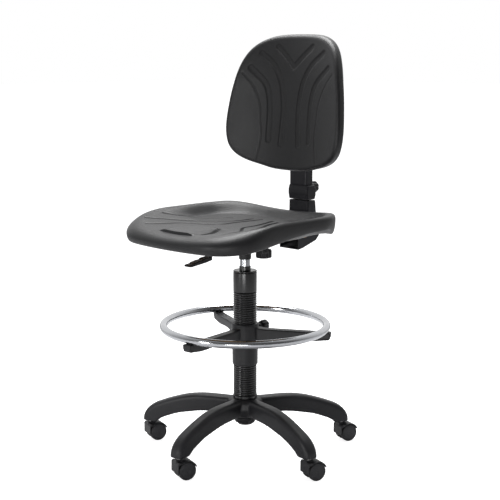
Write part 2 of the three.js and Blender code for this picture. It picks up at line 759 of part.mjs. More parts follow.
function backFace(x, z) {
  const curl = backCurl * THREE.MathUtils.clamp((z - backTopZ + 145) / 145, 0, 1) ** 2;
  const lean = backLean * (z - (backFootZ + backTopZ) / 2);
  return backFaceY - backWing * (x / backHalfWidth) ** 2 + lean + curl;
}

function backPad() {
  const plan = backPlan();
  const midZ = (backFootZ + backTopZ) / 2;
  const loop = (share, depth) =>
    plan.map((p) => {
      const x = p.x * share;
      const z = midZ + (p.z - midZ) * share;
      return new THREE.Vector3(x, backFace(x, z) + depth, z);
    });
  const loops = [
    loop(0.45, 0), loop(0.75, 0), loop(0.93, 0), loop(0.975, 3), loop(1, 11), loop(1, backRimT - 11),
    loop(0.975, backRimT - 2), loop(0.93, backRimT + 1), loop(0.6, backCoreT - 2), loop(0.3, backCoreT),
  ];
  const front = new THREE.Vector3(0, backFace(0, midZ), midZ);
  const rear = new THREE.Vector3(0, backFace(0, midZ) + backCoreT, midZ);
  const pocket = box(-pocketX, pocketX, pocketY, pocketY + 100, backFootZ - 20, pocketTopZ);
  return cut(skin(loops, front, rear), pocket);
}

// ---- foot ring ----------------------------------------------------------------------------------------
const linerR = sleeveR + fit + linerWall;
const ringHubR = linerR + fit + ringHubWall;

function ringSpider() {
  const bore = linerR + fit;
  const seatZ = ringZ - ringTubeR - fit;
  const hub = turn([
    [bore, ringHubFootZ], [ringHubR - 0.6, ringHubFootZ], [ringHubR, ringHubFootZ + 60], [ringHubR + 1.5, 318],
    [ringHubR + 1.5, ringHubTopZ - 4], [ringHubR, ringHubTopZ], [bore, ringHubTopZ],
  ]);
  const profile = outline([
    [bore + 2, 322], [100, 330], [ringR + 9, seatZ - 10], [ringR + 14, seatZ - 5], [ringR + 14, seatZ],
    [ringR - 16, seatZ], [60, 357], [bore + 2, 360],
  ]);
  const arms = [];
  for (let i = 0; i < ringArms; i++) {
    arms.push(spoke(profile, ringArmWidth, heading(ringArmAngle0 + (360 / ringArms) * i), 2));
  }
  const out = heading(ringKnobAngle);
  const base = new THREE.Vector3(0, 0, ringKnobZ);
  const boss = aimed(rod(9, bore + 1, ringHubR + 12, 20), base, out);
  const hole = aimed(rod(4 + fit, 0, ringHubR + 20, 16), base, out);
  return cut(join(hub, ...arms, boss), hole, rod(bore, 200, 400, 24));
}

function ringKnob() {
  const start = ringHubR + 12 + fit;
  const profile = [
    [0, linerR + 2 * fit], [4, linerR + 2 * fit], [4, start], [9, start], [9, start + 5], [ringKnobR - 1, start + 5],
    [ringKnobR, start + 7], [ringKnobR, ringKnobReach - 3], [ringKnobR - 3, ringKnobReach], [0, ringKnobReach],
  ];
  return aimed(turn(profile, 24), new THREE.Vector3(0, 0, ringKnobZ), heading(ringKnobAngle));
}

// ---- assembly -----------------------------------------------------------------------------------------
add("star_base", starBase(), nylon);
for (let i = 0; i < legCount; i++) casterParts(i);
add("column_tube", columnTube(), blackSteel);
add("guide_bush", guideBush(), blackPlastic);
add("ribbed_sleeve", ribbedSleeve(), blackPlastic);
add("sleeve_cap", sleeveCap(), blackPlastic);
add("thrust_bearing", ring(rodR + 0.5, 12, hubFloorZ + 3 + 2 * fit, hubFloorZ + 10, 24), steel);
add("piston_rod", pistonRod(), chrome);
add("retaining_clip", ring(rodR + 0.3, 10, hubFloorZ - 4, hubFloorZ - 1.5, 24), steel);
add("gas_cylinder", gasCylinder(), chrome);
add("valve_pin", rod(valveR, gasTopZ - valveSunk, gasTopZ + valveProud, 16), steel);
add("taper_socket", taperSocket(), blackSteel);
add("mechanism_housing", mechanismHousing(), blackSteel);
add("seat_plate", raised(roundedPlan(plateX, plateFrontY, plateRearY, 12), plateZ, plateZ + plateT), blackSteel);
const boardFoot = plateZ + plateT + fit;
add("seat_board", raised(roundedPlan(boardX, boardFrontY, boardRearY, 40), boardFoot, boardFoot + boardT), wood);
add("seat_pad", seatPad(), foamSkin);
add("lever_pin", crossPin(leverPinR, trayFrontX + fit, 5, leverPinY, leverPinZ), steel);
add("tilt_pin", crossPin(tiltPinR, trayRearX + fit, 7, tiltPinY, tiltPinZ), steel);
const springTurned = ring(tiltPinR + 0.5, tiltPinR + 3.2, -25, 25, 20);
add("tilt_spring", aimed(springTurned, new THREE.Vector3(0, tiltPinY, tiltPinZ), new THREE.Vector3(1, 0, 0)), steel);
add("lever_rod", leverRod(), blackSteel);
add("lever_paddle", leverPaddle(), blackPlastic);
add("tilt_bracket", tiltBracket(), blackSteel);
add("depth_knob", depthKnob(), blackPlastic);
const studGeometry = rod(depthStudR, depthKnobZ + 14 + fit, barZ - 2 * fit, 16).translate(0, depthKnobY, 0);
add("depth_stud", studGeometry, steel);
add("j_bar", backBar(), blackSteel);
add("elbow_cover", elbowCover(), blackPlastic);
add("upright_cover", uprightCover(), blackPlastic);
add("back_collar", backCollar(), blackPlastic);
add("back_sleeve", backSleeve(), blackPlastic);
const boardGeometry = box(-pocketX + 2, pocketX - 2, pocketY + fit, pocketY + fit + backBoardT, 800, pocketTopZ - 4);
add("back_board", boardGeometry, steel);
add("back_pad", backPad(), foamSkin);
add("back_knob", backKnob(), blackPlastic);
add("hub_liner", ring(sleeveR + fit, linerR, ringHubFootZ + 7, ringHubTopZ - 4), bronze);
add("ring_spider", ringSpider(), blackPlastic);
const torus = new THREE.TorusGeometry(ringR, ringTubeR, 8, 48);
add("foot_ring", torus.translate(0, 0, ringZ), chrome);
add("ring_knob", ringKnob(), blackPlastic);

// The part's origin is the middle of its footprint on the floor.
const bounds = new THREE.Box3().setFromObject(chair);
const middle = bounds.getCenter(new THREE.Vector3());
chair.position.set(-middle.x, -middle.y, -bounds.min.z);

export default chair;
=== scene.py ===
import math

import bmesh
import bpy
import numpy as np
from mathutils import Matrix, Vector


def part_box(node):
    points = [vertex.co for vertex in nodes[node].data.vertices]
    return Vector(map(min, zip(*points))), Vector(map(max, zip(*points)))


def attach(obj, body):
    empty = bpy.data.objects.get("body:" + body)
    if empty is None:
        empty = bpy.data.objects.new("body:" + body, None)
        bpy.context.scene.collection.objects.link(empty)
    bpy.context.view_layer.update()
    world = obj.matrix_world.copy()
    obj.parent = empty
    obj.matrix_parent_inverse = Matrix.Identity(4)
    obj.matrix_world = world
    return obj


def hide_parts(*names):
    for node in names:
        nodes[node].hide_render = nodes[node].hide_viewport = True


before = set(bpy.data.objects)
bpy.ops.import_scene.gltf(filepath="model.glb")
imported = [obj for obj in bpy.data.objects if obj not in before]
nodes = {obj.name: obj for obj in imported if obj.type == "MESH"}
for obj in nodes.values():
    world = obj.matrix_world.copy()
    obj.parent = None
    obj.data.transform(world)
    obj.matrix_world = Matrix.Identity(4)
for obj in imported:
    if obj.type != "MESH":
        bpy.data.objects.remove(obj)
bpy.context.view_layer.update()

# Drafting chair: the visible pieces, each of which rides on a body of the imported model.
# Sizes are millimetres from the column's axis and the floor, and turn to metres in place().

tubeLow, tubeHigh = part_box("column_tube")
columnX, columnY = (tubeLow.x + tubeHigh.x) / 2, (tubeLow.y + tubeHigh.y) / 2
casterNumbers = (1, 2, 3, 4, 5)


def place(points):
    return np.asarray(points, float) / 1000 + np.array([columnX, columnY, 0])


def smooth(low, high, x):
    t = np.clip((np.asarray(x, float) - low) / (high - low), 0, 1)
    return t * t * (3 - 2 * t)


# Shader nodes

def newMaterial(name):
    material = bpy.data.materials.new(name)
    material.use_nodes = True
    tree = material.node_tree
    return material, tree, tree.nodes["Principled BSDF"]


def addNode(tree, kind, settings=None, **values):
    node = tree.nodes.new(kind)
    for key, value in (settings or {}).items():
        setattr(node, key, value)
    for key, value in values.items():
        node.inputs[key.replace("_", " ")].default_value = value
    return node


def noiseOn(tree, at, scale, detail=3.0, roughness=0.5):
    noise = addNode(tree, "ShaderNodeTexNoise", Scale=scale, Detail=detail, Roughness=roughness)
    tree.links.new(at, noise.inputs["Vector"])
    return noise.outputs["Fac"]


def stretched(tree, at, scale):
    mapping = addNode(tree, "ShaderNodeMapping", Scale=scale)
    tree.links.new(at, mapping.inputs["Vector"])
    return mapping.outputs["Vector"]


def remap(tree, value, low, high, newLow, newHigh):
    node = addNode(tree, "ShaderNodeMapRange", From_Min=low, From_Max=high, To_Min=newLow, To_Max=newHigh)
    tree.links.new(value, node.inputs["Value"])
    return node.outputs["Result"]


def mixColours(tree, factor, first, second):
    mix = addNode(tree, "ShaderNodeMix", {"data_type": "RGBA"})
    colours = [s for s in mix.inputs if s.type == "RGBA"]
    for socket, value in zip(colours, (first, second)):
        if isinstance(value, tuple):
            socket.default_value = (*value, 1)
        else:
            tree.links.new(value, socket)
    tree.links.new(factor, mix.inputs[0])
    return [s for s in mix.outputs if s.type == "RGBA"][0]


def math2(tree, operation, first, second):
    node = addNode(tree, "ShaderNodeMath", {"operation": operation})
    for socket, value in zip(node.inputs, (first, second)):
        if isinstance(value, (int, float)):
            socket.default_value = value
        else:
            tree.links.new(value, socket)
    return node.outputs[0]


def addBump(tree, shader, height, distance):
    bump = addNode(tree, "ShaderNodeBump", Strength=1.0, Distance=distance)
    tree.links.new(height, bump.inputs["Height"])
    tree.links.new(bump.outputs["Normal"], shader.inputs["Normal"])


def objectPlace(tree):
    return addNode(tree, "ShaderNodeTexCoord").outputs["Object"]


# Finishes
# Colours are linear; grain and patch are texture scales per metre; relief is a height in metres.

plasticLooks = {
    "baseNylon": dict(dark=(0.011, 0.011, 0.012), light=(0.02, 0.02, 0.023), worn=(0.06, 0.06, 0.062),
                      grain=1500, patch=9, scuff=0.3, gloss=(0.36, 0.5), relief=0.00006),
    "sleeveBlack": dict(dark=(0.006, 0.006, 0.006), light=(0.01, 0.01, 0.011), worn=(0.03, 0.03, 0.03),
                        grain=1300, patch=14, scuff=0.15, gloss=(0.18, 0.28), relief=0.00003, shine=0.55),
    "coverPlastic": dict(dark=(0.009, 0.009, 0.011), light=(0.016, 0.016, 0.02), worn=(0.05, 0.05, 0.055),
                         grain=1700, patch=20, scuff=0.2, gloss=(0.34, 0.48), relief=0.00007),
    "knobPlastic": dict(dark=(0.008, 0.008, 0.009), light=(0.014, 0.014, 0.015), worn=(0.05, 0.05, 0.05),
                        grain=2100, patch=35, scuff=0.35, gloss=(0.4, 0.55), relief=0.00006),
    "casterPlastic": dict(dark=(0.016, 0.016, 0.018), light=(0.026, 0.026, 0.029), worn=(0.08, 0.08, 0.082),
                          grain=1900, patch=25, scuff=0.4, gloss=(0.42, 0.56), relief=0.00005),
    "ringHubPlastic": dict(dark=(0.011, 0.011, 0.012), light=(0.019, 0.019, 0.021), worn=(0.07, 0.07, 0.07),
                           grain=1600, patch=16, scuff=0.5, gloss=(0.34, 0.48), relief=0.00006),
    "linerPlastic": dict(dark=(0.02, 0.02, 0.021), light=(0.032, 0.032, 0.033), worn=(0.09, 0.09, 0.09),
                         grain=1200, patch=30, scuff=0.3, gloss=(0.3, 0.42), relief=0.00003),
    "mechanismBlack": dict(dark=(0.008, 0.008, 0.008), light=(0.015, 0.015, 0.016), worn=(0.11, 0.11, 0.11),
                           grain=2600, patch=18, scuff=0.35, gloss=(0.38, 0.6), relief=0.00012),
}


def mouldedFinish(name):
    look = plasticLooks[name]
    material, tree, shader = newMaterial(name)
    at = objectPlace(tree)
    fine = noiseOn(tree, at, look["grain"], 4.0, 0.65)
    broad = noiseOn(tree, at, look["patch"])
    streaks = noiseOn(tree, stretched(tree, at, (260, 260, 45)), 1.0, 5.0, 0.7)
    scuff = remap(tree, streaks, 0.62, 0.76, 0, look["scuff"])
    colour = mixColours(tree, broad, look["dark"], look["light"])
    colour = mixColours(tree, scuff, colour, look["worn"])
    tree.links.new(colour, shader.inputs["Base Color"])
    rough = remap(tree, math2(tree, "ADD", fine, broad), 0.6, 1.4, *look["gloss"])
    tree.links.new(rough, shader.inputs["Roughness"])
    shader.inputs["Specular IOR Level"].default_value = look.get("shine", 0.3)
    addBump(tree, shader, fine, look["relief"])
    return material


# The darkest colour here is painted shade, laid into the pressed channels and creases.
skinLook = dict(dark=(0.009, 0.009, 0.0095), light=(0.014, 0.014, 0.0152), channel=(0.003, 0.003, 0.0033),
                pebble=720, wrinkle=210, patch=7, gloss=(0.36, 0.5), relief=0.00022, sheen=0.03, shine=0.28,
                channelDull=0.4)


def foamFinish(name):
    # Moulded foam with a leather-grained skin: pebbles, fine wrinkles, rougher in the channels, and painted
    # shade darkening the pressed channels and creases.
    look = skinLook
    material, tree, shader = newMaterial(name)
    at = objectPlace(tree)
    pebbles = addNode(tree, "ShaderNodeTexVoronoi", {"feature": "SMOOTH_F1"}, Scale=look["pebble"])
    warp = noiseOn(tree, at, look["wrinkle"], 2.0)
    tree.links.new(at, pebbles.inputs["Vector"])
    height = math2(tree, "ADD", pebbles.outputs["Distance"], math2(tree, "MULTIPLY", warp, 0.8))
    broad = noiseOn(tree, at, look["patch"], 4.0)
    channel = addNode(tree, "ShaderNodeAttribute", {"attribute_name": "channel"}).outputs["Fac"]
    colour = mixColours(tree, broad, look["dark"], look["light"])
    # Painted shade: the channels and creases take the darkest colour.
    colour = mixColours(tree, channel, colour, look["channel"])
    tree.links.new(colour, shader.inputs["Base Color"])
    rough = remap(tree, math2(tree, "ADD", warp, broad), 0.6, 1.4, *look["gloss"])
    dull = math2(tree, "MULTIPLY", channel, look["channelDull"])
    tree.links.new(math2(tree, "ADD", rough, dull), shader.inputs["Roughness"])
    shader.inputs["Specular IOR Level"].default_value = look["shine"]
    shader.inputs["Sheen Weight"].default_value = look["sheen"]
    shader.inputs["Sheen Roughness"].default_value = 0.5
    addBump(tree, shader, height, look["relief"])
    return material


metalLooks = {
    "chrome": dict(clean=(0.56, 0.57, 0.59), dull=(0.44, 0.45, 0.47), gloss=(0.12, 0.24),
                   brush=(500, 500, 30), patch=30, relief=0.000008),
    "pinSteel": dict(clean=(0.55, 0.55, 0.56), dull=(0.33, 0.32, 0.31), gloss=(0.24, 0.45),
                     brush=(60, 900, 900), patch=60, relief=0.00003),
    "bearingSteel": dict(clean=(0.42, 0.41, 0.39), dull=(0.2, 0.17, 0.13), gloss=(0.25, 0.5),
                         brush=(300, 300, 900), patch=90, relief=0.00004),
    "blackSteel": dict(clean=(0.035, 0.035, 0.037), dull=(0.018, 0.018, 0.018), gloss=(0.3, 0.5),
                       brush=(700, 700, 60), patch=25, relief=0.00005),
}


def metalFinish(name):
    look = metalLooks[name]
    material, tree, shader = newMaterial(name)
    at = objectPlace(tree)
    brushed = noiseOn(tree, stretched(tree, at, look["brush"]), 1.0, 4.0, 0.6)
    smudges = noiseOn(tree, at, look["patch"], 5.0, 0.6)
    tree.links.new(mixColours(tree, smudges, look["clean"], look["dull"]), shader.inputs["Base Color"])
    shader.inputs["Metallic"].default_value = 1.0
    rough = remap(tree, math2(tree, "MULTIPLY", brushed, smudges), 0.15, 0.4, *look["gloss"])
    tree.links.new(rough, shader.inputs["Roughness"])
    addBump(tree, shader, brushed, look["relief"])
    return material


wheelLook = dict(tread=(0.02, 0.02, 0.021), cap=(0.03, 0.03, 0.033), dust=(0.12, 0.115, 0.11), grain=1500,
                 patch=60, relief=0.00008)


def wheelFinish(name):
    # Road dust gathers on the tread; the attribute says how far a point is on it.
    look = wheelLook
    material, tree, shader = newMaterial(name)
    at = objectPlace(tree)
    fine = noiseOn(tree, at, look["grain"], 4.0, 0.6)
    broad = noiseOn(tree, at, look["patch"], 4.0, 0.6)
    tread = addNode(tree, "ShaderNodeAttribute", {"attribute_name": "tread"}).outputs["Fac"]
    colour = mixColours(tree, tread, look["cap"], look["tread"])
    dust = math2(tree, "MULTIPLY", remap(tree, broad, 0.5, 0.75, 0, 0.35), tread)
    tree.links.new(mixColours(tree, dust, colour, look["dust"]), shader.inputs["Base Color"])
    tree.links.new(remap(tree, fine, 0.3, 0.7, 0.4, 0.6), shader.inputs["Roughness"])
    shader.inputs["Specular IOR Level"].default_value = 0.35
    addBump(tree, shader, fine, look["relief"])
    return material


plyLook = dict(pale=(0.48, 0.32, 0.17), dark=(0.27, 0.16, 0.08), plyPitch=1.7, grain=(25, 420, 420))


def plyFinish(name):
    look = plyLook
    material, tree, shader = newMaterial(name)
    at = objectPlace(tree)
    figure = noiseOn(tree, stretched(tree, at, look["grain"]), 1.0, 5.0, 0.6)
    bands = 1000 / look["plyPitch"] / 6.28
    layers = addNode(tree, "ShaderNodeTexWave", {"bands_direction": "Z"}, Scale=bands, Distortion=0.6)
    tree.links.new(at, layers.inputs["Vector"])
    factor = math2(tree, "MULTIPLY", math2(tree, "ADD", layers.outputs["Fac"], figure), 0.5)
    tree.links.new(mixColours(tree, factor, look["dark"], look["pale"]), shader.inputs["Base Color"])
    tree.links.new(remap(tree, figure, 0.3, 0.7, 0.5, 0.72), shader.inputs["Roughness"])
    addBump(tree, shader, figure, 0.00015)
    return material


finishes = {name: mouldedFinish(name) for name in plasticLooks}
finishes.update({name: metalFinish(name) for name in metalLooks})
finishes["foamSkin"] = foamFinish("foamSkin")
finishes["wheelPlastic"] = wheelFinish("wheelPlastic")
finishes["seatPly"] = plyFinish("seatPly")
print("finishes:", len(finishes))


# Meshes

def marked(mesh, key, values):
    # Stores one number per point, for the materials to read.
    mesh.attributes.new(key, "FLOAT", "POINT").data.foreach_set("value", np.asarray(values, np.float32))
    return mesh


def newPiece(name, points, faces, finish, body, slotName, replaced=()):
    return finishPiece(name, plainMesh(place(points), faces), finish, body, replaced)


def finishPiece(name, mesh, finish, body, replaced=(), sharp=35):
    mesh.materials.clear()
    mesh.materials.append(finishes[finish])
    shape = bmesh.new()
    shape.from_mesh(mesh)
    bmesh.ops.recalc_face_normals(shape, faces=shape.faces)
    if shape.calc_volume(signed=True) < 0:
        bmesh.ops.reverse_faces(shape, faces=shape.faces)
    shape.to_mesh(mesh)
    shape.free()
    mesh.shade_smooth()
    mesh.set_sharp_from_angle(angle=math.radians(sharp))
    piece = bpy.data.objects.new(name, mesh)
    bpy.context.scene.collection.objects.link(piece)
    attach(piece, body)
    if replaced:
        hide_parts(*replaced)
    return piece


def ringFaces(rings, count, closedLoop=False, firstPole=False, lastPole=False):
    # Quads between rings of points, with a fan at either end where a single pole point follows.
    faces = []
    for i in range(rings if closedLoop else rings - 1):
        a, b = i * count, (i + 1) % rings * count
        faces += [(a + j, a + (j + 1) % count, b + (j + 1) % count, b + j) for j in range(count)]
    pole = rings * count
    if firstPole:
        faces += [(pole, (j + 1) % count, j) for j in range(count)]
        pole += 1
    if lastPole:
        last = (rings - 1) * count
        faces += [(pole, last + j, last + (j + 1) % count) for j in range(count)]
    return faces


def eased(profile, radius, closed=False, steps=4):
    # The same profile with its corners rounded.
    points = [np.asarray(p, float) for p in profile]
    n = len(points)
    result = []
    for i, p in enumerate(points):
        if not closed and i in (0, n - 1):
            result.append(p)
            continue
        before, after = points[i - 1] - p, points[(i + 1) % n] - p
        reach = min(radius, 0.45 * np.linalg.norm(before), 0.45 * np.linalg.norm(after))
        start, end = p + before / np.linalg.norm(before) * reach, p + after / np.linalg.norm(after) * reach
        for k in range(steps + 1):
            t = k / steps
            result.append((1 - t) ** 2 * start + 2 * t * (1 - t) * p + t * t * end)
    return result


def lathe(profile, steps=96, closed=False):
    # Profile points are (radius, height); an end on the axis becomes a pole.
    firstPole = not closed and profile[0][0] < 1e-6
    lastPole = not closed and profile[-1][0] < 1e-6
    rings = profile[int(firstPole):len(profile) - int(lastPole)]
    angles = np.arange(steps) * 2 * math.pi / steps
    points = [(r * math.cos(a), r * math.sin(a), z) for r, z in rings for a in angles]
    if firstPole:
        points.append((0, 0, profile[0][1]))
    if lastPole:
        points.append((0, 0, profile[-1][1]))
    return np.array(points, float), ringFaces(len(rings), steps, closed, firstPole, lastPole)


def latheBetween(profile, start, end, steps=64):
    # A lathed shape whose axis runs from start towards end; profile heights run along it.
    points, faces = lathe(profile, steps)
    axis = (Vector(end) - Vector(start)).normalized()
    turn = np.array(axis.to_track_quat("Z", "Y").to_matrix())
    return points @ turn.T + np.asarray(start, float), faces


def mergedCopy(node):
    shape = bmesh.new()
    shape.from_mesh(nodes[node].data)
    bmesh.ops.remove_doubles(shape, verts=shape.verts, dist=1e-6)
    mesh = bpy.data.meshes.new(node + "Soft")
    shape.to_mesh(mesh)
    shape.free()
    return mesh


def modified(mesh, *steps):
    # The mesh after these modifiers, each (kind, settings).
    holder = bpy.data.objects.new("holder", mesh)
    bpy.context.scene.collection.objects.link(holder)
    for kind, settings in steps:
        modifier = holder.modifiers.new(kind, kind)
        for key, value in settings.items():
            setattr(modifier, key, value)
    evaluated = holder.evaluated_get(bpy.context.evaluated_depsgraph_get())
    result = bpy.data.meshes.new_from_object(evaluated)
    bpy.data.objects.remove(holder)
    return result


def softened(mesh, voxel, passes):
    # Rounds every edge as a mould does.
    return modified(mesh, ("REMESH", dict(mode="VOXEL", voxel_size=voxel / 1000)),
                    ("SMOOTH", dict(factor=0.5, iterations=passes)))


def carved(mesh, cutterMesh, **settings):
    cutter = bpy.data.objects.new("cutter", cutterMesh)
    bpy.context.scene.collection.objects.link(cutter)
    settings.update(operation="DIFFERENCE", object=cutter, solver="EXACT")
    result = modified(mesh, ("BOOLEAN", settings))
    bpy.data.objects.remove(cutter)
    return result


boxSides = [(0, 3, 2, 1), (4, 5, 6, 7), (0, 1, 5, 4), (1, 2, 6, 5), (2, 3, 7, 6), (3, 0, 4, 7)]


def boxCut(mesh, low, high):
    # Cuts away the box between two corners, in metres.
    (x0, y0, z0), (x1, y1, z1) = low, high
    corners = [(x, y, z) for z in (z0, z1) for x, y in ((x0, y0), (x1, y0), (x1, y1), (x0, y1))]
    return carved(mesh, plainMesh(corners, boxSides))


# Geometry node trees

def newTree(name, inputs):
    tree = bpy.data.node_groups.new(name, "GeometryNodeTree")
    tree.interface.new_socket("Geometry", in_out="INPUT", socket_type="NodeSocketGeometry")
    for key, kind in inputs:
        tree.interface.new_socket(key, in_out="INPUT", socket_type=kind)
    tree.interface.new_socket("Geometry", in_out="OUTPUT", socket_type="NodeSocketGeometry")
    return tree, tree.nodes.new("NodeGroupInput"), tree.nodes.new("NodeGroupOutput")


def endTree(tree, source, given, out):
    # Instances become real and take their finish.
    realize = tree.nodes.new("GeometryNodeRealizeInstances")
    setFinish = tree.nodes.new("GeometryNodeSetMaterial")
    tree.links.new(source, realize.inputs[0])
    tree.links.new(realize.outputs[0], setFinish.inputs["Geometry"])
    tree.links.new(given.outputs["Finish"], setFinish.inputs["Material"])
    tree.links.new(setFinish.outputs[0], out.inputs[0])


def grown(tree, mesh, values):
    # Runs a tree over a mesh, with its inputs set by identifier, and gives the plain mesh.
    holder = bpy.data.objects.new("holder", mesh)
    bpy.context.scene.collection.objects.link(holder)
    modifier = holder.modifiers.new("grow", "NODES")
    modifier.node_group = tree
    for item in tree.interface.items_tree:
        if item.in_out == "INPUT" and item.name in values:
            modifier[item.identifier] = values[item.name]
    evaluated = holder.evaluated_get(bpy.context.evaluated_depsgraph_get())
    result = bpy.data.meshes.new_from_object(evaluated)
    holder.modifiers.remove(modifier)
    bpy.data.objects.remove(holder)
    return result


def plainMesh(points, faces):
    mesh = bpy.data.meshes.new("plain")
    mesh.from_pydata(np.asarray(points).tolist(), [], faces)
    return mesh


def ribTree():
    # Rings of one round section, stacked up the column, joined to the tube they stand on.
    tree, given, out = newTree("stackedRibs", [
        ("Count", "NodeSocketInt"), ("First", "NodeSocketVector"), ("Pitch", "NodeSocketVector"),
        ("Ring Radius", "NodeSocketFloat"), ("Section", "NodeSocketFloat"), ("Finish", "NodeSocketMaterial")])
    path = addNode(tree, "GeometryNodeCurvePrimitiveCircle", Resolution=96)
    section = addNode(tree, "GeometryNodeCurvePrimitiveCircle", Resolution=10)
    swept = tree.nodes.new("GeometryNodeCurveToMesh")
    line = tree.nodes.new("GeometryNodeMeshLine")
    stack = tree.nodes.new("GeometryNodeInstanceOnPoints")
    joined = tree.nodes.new("GeometryNodeJoinGeometry")
    link = tree.links.new
    link(given.outputs["Ring Radius"], path.inputs["Radius"])
    link(given.outputs["Section"], section.inputs["Radius"])
    link(path.outputs["Curve"], swept.inputs["Curve"])
    link(section.outputs["Curve"], swept.inputs["Profile Curve"])
    link(given.outputs["Count"], line.inputs["Count"])
    link(given.outputs["First"], line.inputs["Start Location"])
    link(given.outputs["Pitch"], line.inputs["Offset"])
    link(line.outputs["Mesh"], stack.inputs["Points"])
    link(swept.outputs["Mesh"], stack.inputs["Instance"])
    link(stack.outputs["Instances"], joined.inputs[0])
    link(given.outputs["Geometry"], joined.inputs[0])
    endTree(tree, joined.outputs[0], given, out)
    return tree


def fluteTree():
    # Presses flutes into a turned knob: the wall moves in where a cosine round the axis is high.
    tree, given, out = newTree("knobFlutes", [
        ("Flutes", "NodeSocketFloat"), ("Depth", "NodeSocketFloat"), ("Rim", "NodeSocketFloat"),
        ("Finish", "NodeSocketMaterial")])
    link = tree.links.new
    where = tree.nodes.new("GeometryNodeInputPosition")
    parts = tree.nodes.new("ShaderNodeSeparateXYZ")
    flat = tree.nodes.new("ShaderNodeCombineXYZ")
    link(where.outputs[0], parts.inputs[0])
    link(parts.outputs[0], flat.inputs[0])
    link(parts.outputs[1], flat.inputs[1])
    length = addNode(tree, "ShaderNodeVectorMath", {"operation": "LENGTH"})
    link(flat.outputs[0], length.inputs[0])
    angle = math2(tree, "ARCTAN2", parts.outputs[1], parts.outputs[0])
    wave = math2(tree, "COSINE", math2(tree, "MULTIPLY", angle, given.outputs["Flutes"]), 0.0)
    press = math2(tree, "POWER", math2(tree, "MAXIMUM", wave, 0.0), 1.4)
    share = math2(tree, "DIVIDE", length.outputs["Value"], given.outputs["Rim"])
    share = math2(tree, "POWER", math2(tree, "MINIMUM", share, 1.0), 6.0)
    amount = math2(tree, "MULTIPLY", math2(tree, "MULTIPLY", press, share), given.outputs["Depth"])
    inward = addNode(tree, "ShaderNodeVectorMath", {"operation": "NORMALIZE"})
    link(flat.outputs[0], inward.inputs[0])
    offset = addNode(tree, "ShaderNodeVectorMath", {"operation": "SCALE"})
    link(inward.outputs[0], offset.inputs[0])
    link(math2(tree, "MULTIPLY", amount, -1.0), offset.inputs["Scale"])
    moved = tree.nodes.new("GeometryNodeSetPosition")
    link(given.outputs["Geometry"], moved.inputs["Geometry"])
    link(offset.outputs[0], moved.inputs["Offset"])
    endTree(tree, moved.outputs[0], given, out)
    return tree


def scatterTree():
    # Stands the finished shape in Shape on each vertex, its Z axis along the vertex's "facing" vector.
    tree, given, out = newTree("standOnPoints", [
        ("Shape", "NodeSocketObject"), ("Finish", "NodeSocketMaterial")])
    link = tree.links.new
    facing = addNode(tree, "GeometryNodeInputNamedAttribute", {"data_type": "FLOAT_VECTOR"}, Name="facing")
    aim = addNode(tree, "FunctionNodeAlignRotationToVector", {"axis": "Z"})
    info = tree.nodes.new("GeometryNodeObjectInfo")
    stand = tree.nodes.new("GeometryNodeInstanceOnPoints")
    link(facing.outputs["Attribute"], aim.inputs["Vector"])
    link(given.outputs["Shape"], info.inputs["Object"])
    link(given.outputs["Geometry"], stand.inputs["Points"])
    link(info.outputs["Geometry"], stand.inputs["Instance"])
    link(aim.outputs["Rotation"], stand.inputs["Rotation"])
    endTree(tree, stand.outputs["Instances"], given, out)
    return tree


ribs, flutes, scatter = ribTree(), fluteTree(), scatterTree()


def standing(shapePoints, shapeFaces, spots, finish):
    # Copies of one small shape (metres, foot at its origin) at spots of (point mm, facing).
    shape = bpy.data.objects.new("shape", plainMesh(shapePoints, shapeFaces))
    bpy.context.scene.collection.objects.link(shape)
    mesh = plainMesh(place([p for p, _ in spots]), [])
    facing = mesh.attributes.new("facing", "FLOAT_VECTOR", "POINT")
    facing.data.foreach_set("vector", np.array([f for _, f in spots], np.float32).ravel())
    result = grown(scatter, mesh, {"Shape": shape, "Finish": finishes[finish]})
    bpy.data.objects.remove(shape)
    return result


# Seat pad

seatLook = dict(
    halfWidth=236, frontY=-268, bow=32, rearY=178, frontR=90, rearR=108, midY=-45,
    skirtFront=612, skirtSide=647, skirtRear=624, crestFront=650, crestSide=684, rearDrop=11,
    dish=649, pommel=8, underside=618.4, channelWidth=9, channelDepth=3.6, boardGap=0.8, boardBelow=3,
    cornerLift=6, wallShare=(0.42, 0.72), rimShare=0.955, frontRoll=0.125, shoulder=0.22,
    flatShare=0.64, lipShare=0.91, wallFrom=0.965, frontDip=2.4, dishWall=(0.78, 0.975),
    points=480, topRings=120)
# Centre lines of the pressed channels on the sitter's left half; the other half mirrors them.
seatChannels = [
    [(200, -122), (176, -92), (166, -42), (146, 8), (111, 57)],
    [(187, -201), (157, -144), (116, -84), (85, -26), (58, 34), (52, 80)],
    [(157, -254), (131, -197), (112, -128), (72, -84), (45, -48), (40, 10), (22, 88)],
    [(74, -226), (68, -185), (42, -138), (8, -108)],
]


def catmull(points, steps=14, closed=False):
    p = np.asarray(points, float)
    n = len(p)
    result = []
    for i in range(n if closed else n - 1):
        if closed:
            a, b, c, d = p[i - 1], p[i], p[(i + 1) % n], p[(i + 2) % n]
        else:
            b, c = p[i], p[i + 1]
            a = p[i - 1] if i else 2 * b - c
            d = p[i + 2] if i + 2 < n else 2 * c - b
        for t in np.arange(steps) / steps:
            result.append(0.5 * (2 * b + (c - a) * t + (2 * a - 5 * b + 4 * c - d) * t ** 2
                                 + (3 * b - a - 3 * c + d) * t ** 3))
    if not closed:
        result.append(p[-1])
    return np.array(result)


def evenly(loop, count):
    # The closed loop again, at equal steps along its length.
    ends = np.vstack([loop, loop[:1]])
    run = np.concatenate([[0], np.cumsum(np.linalg.norm(np.diff(ends, axis=0), axis=1))])
    at = np.linspace(0, run[-1], count, endpoint=False)
    return np.stack([np.interp(at, run, ends[:, k]) for k in range(loop.shape[1])], 1)


def blurred(loop, passes):
    for _ in range(passes):
        loop = (np.roll(loop, 1, 0) + 2 * loop + np.roll(loop, -1, 0)) / 4
    return loop


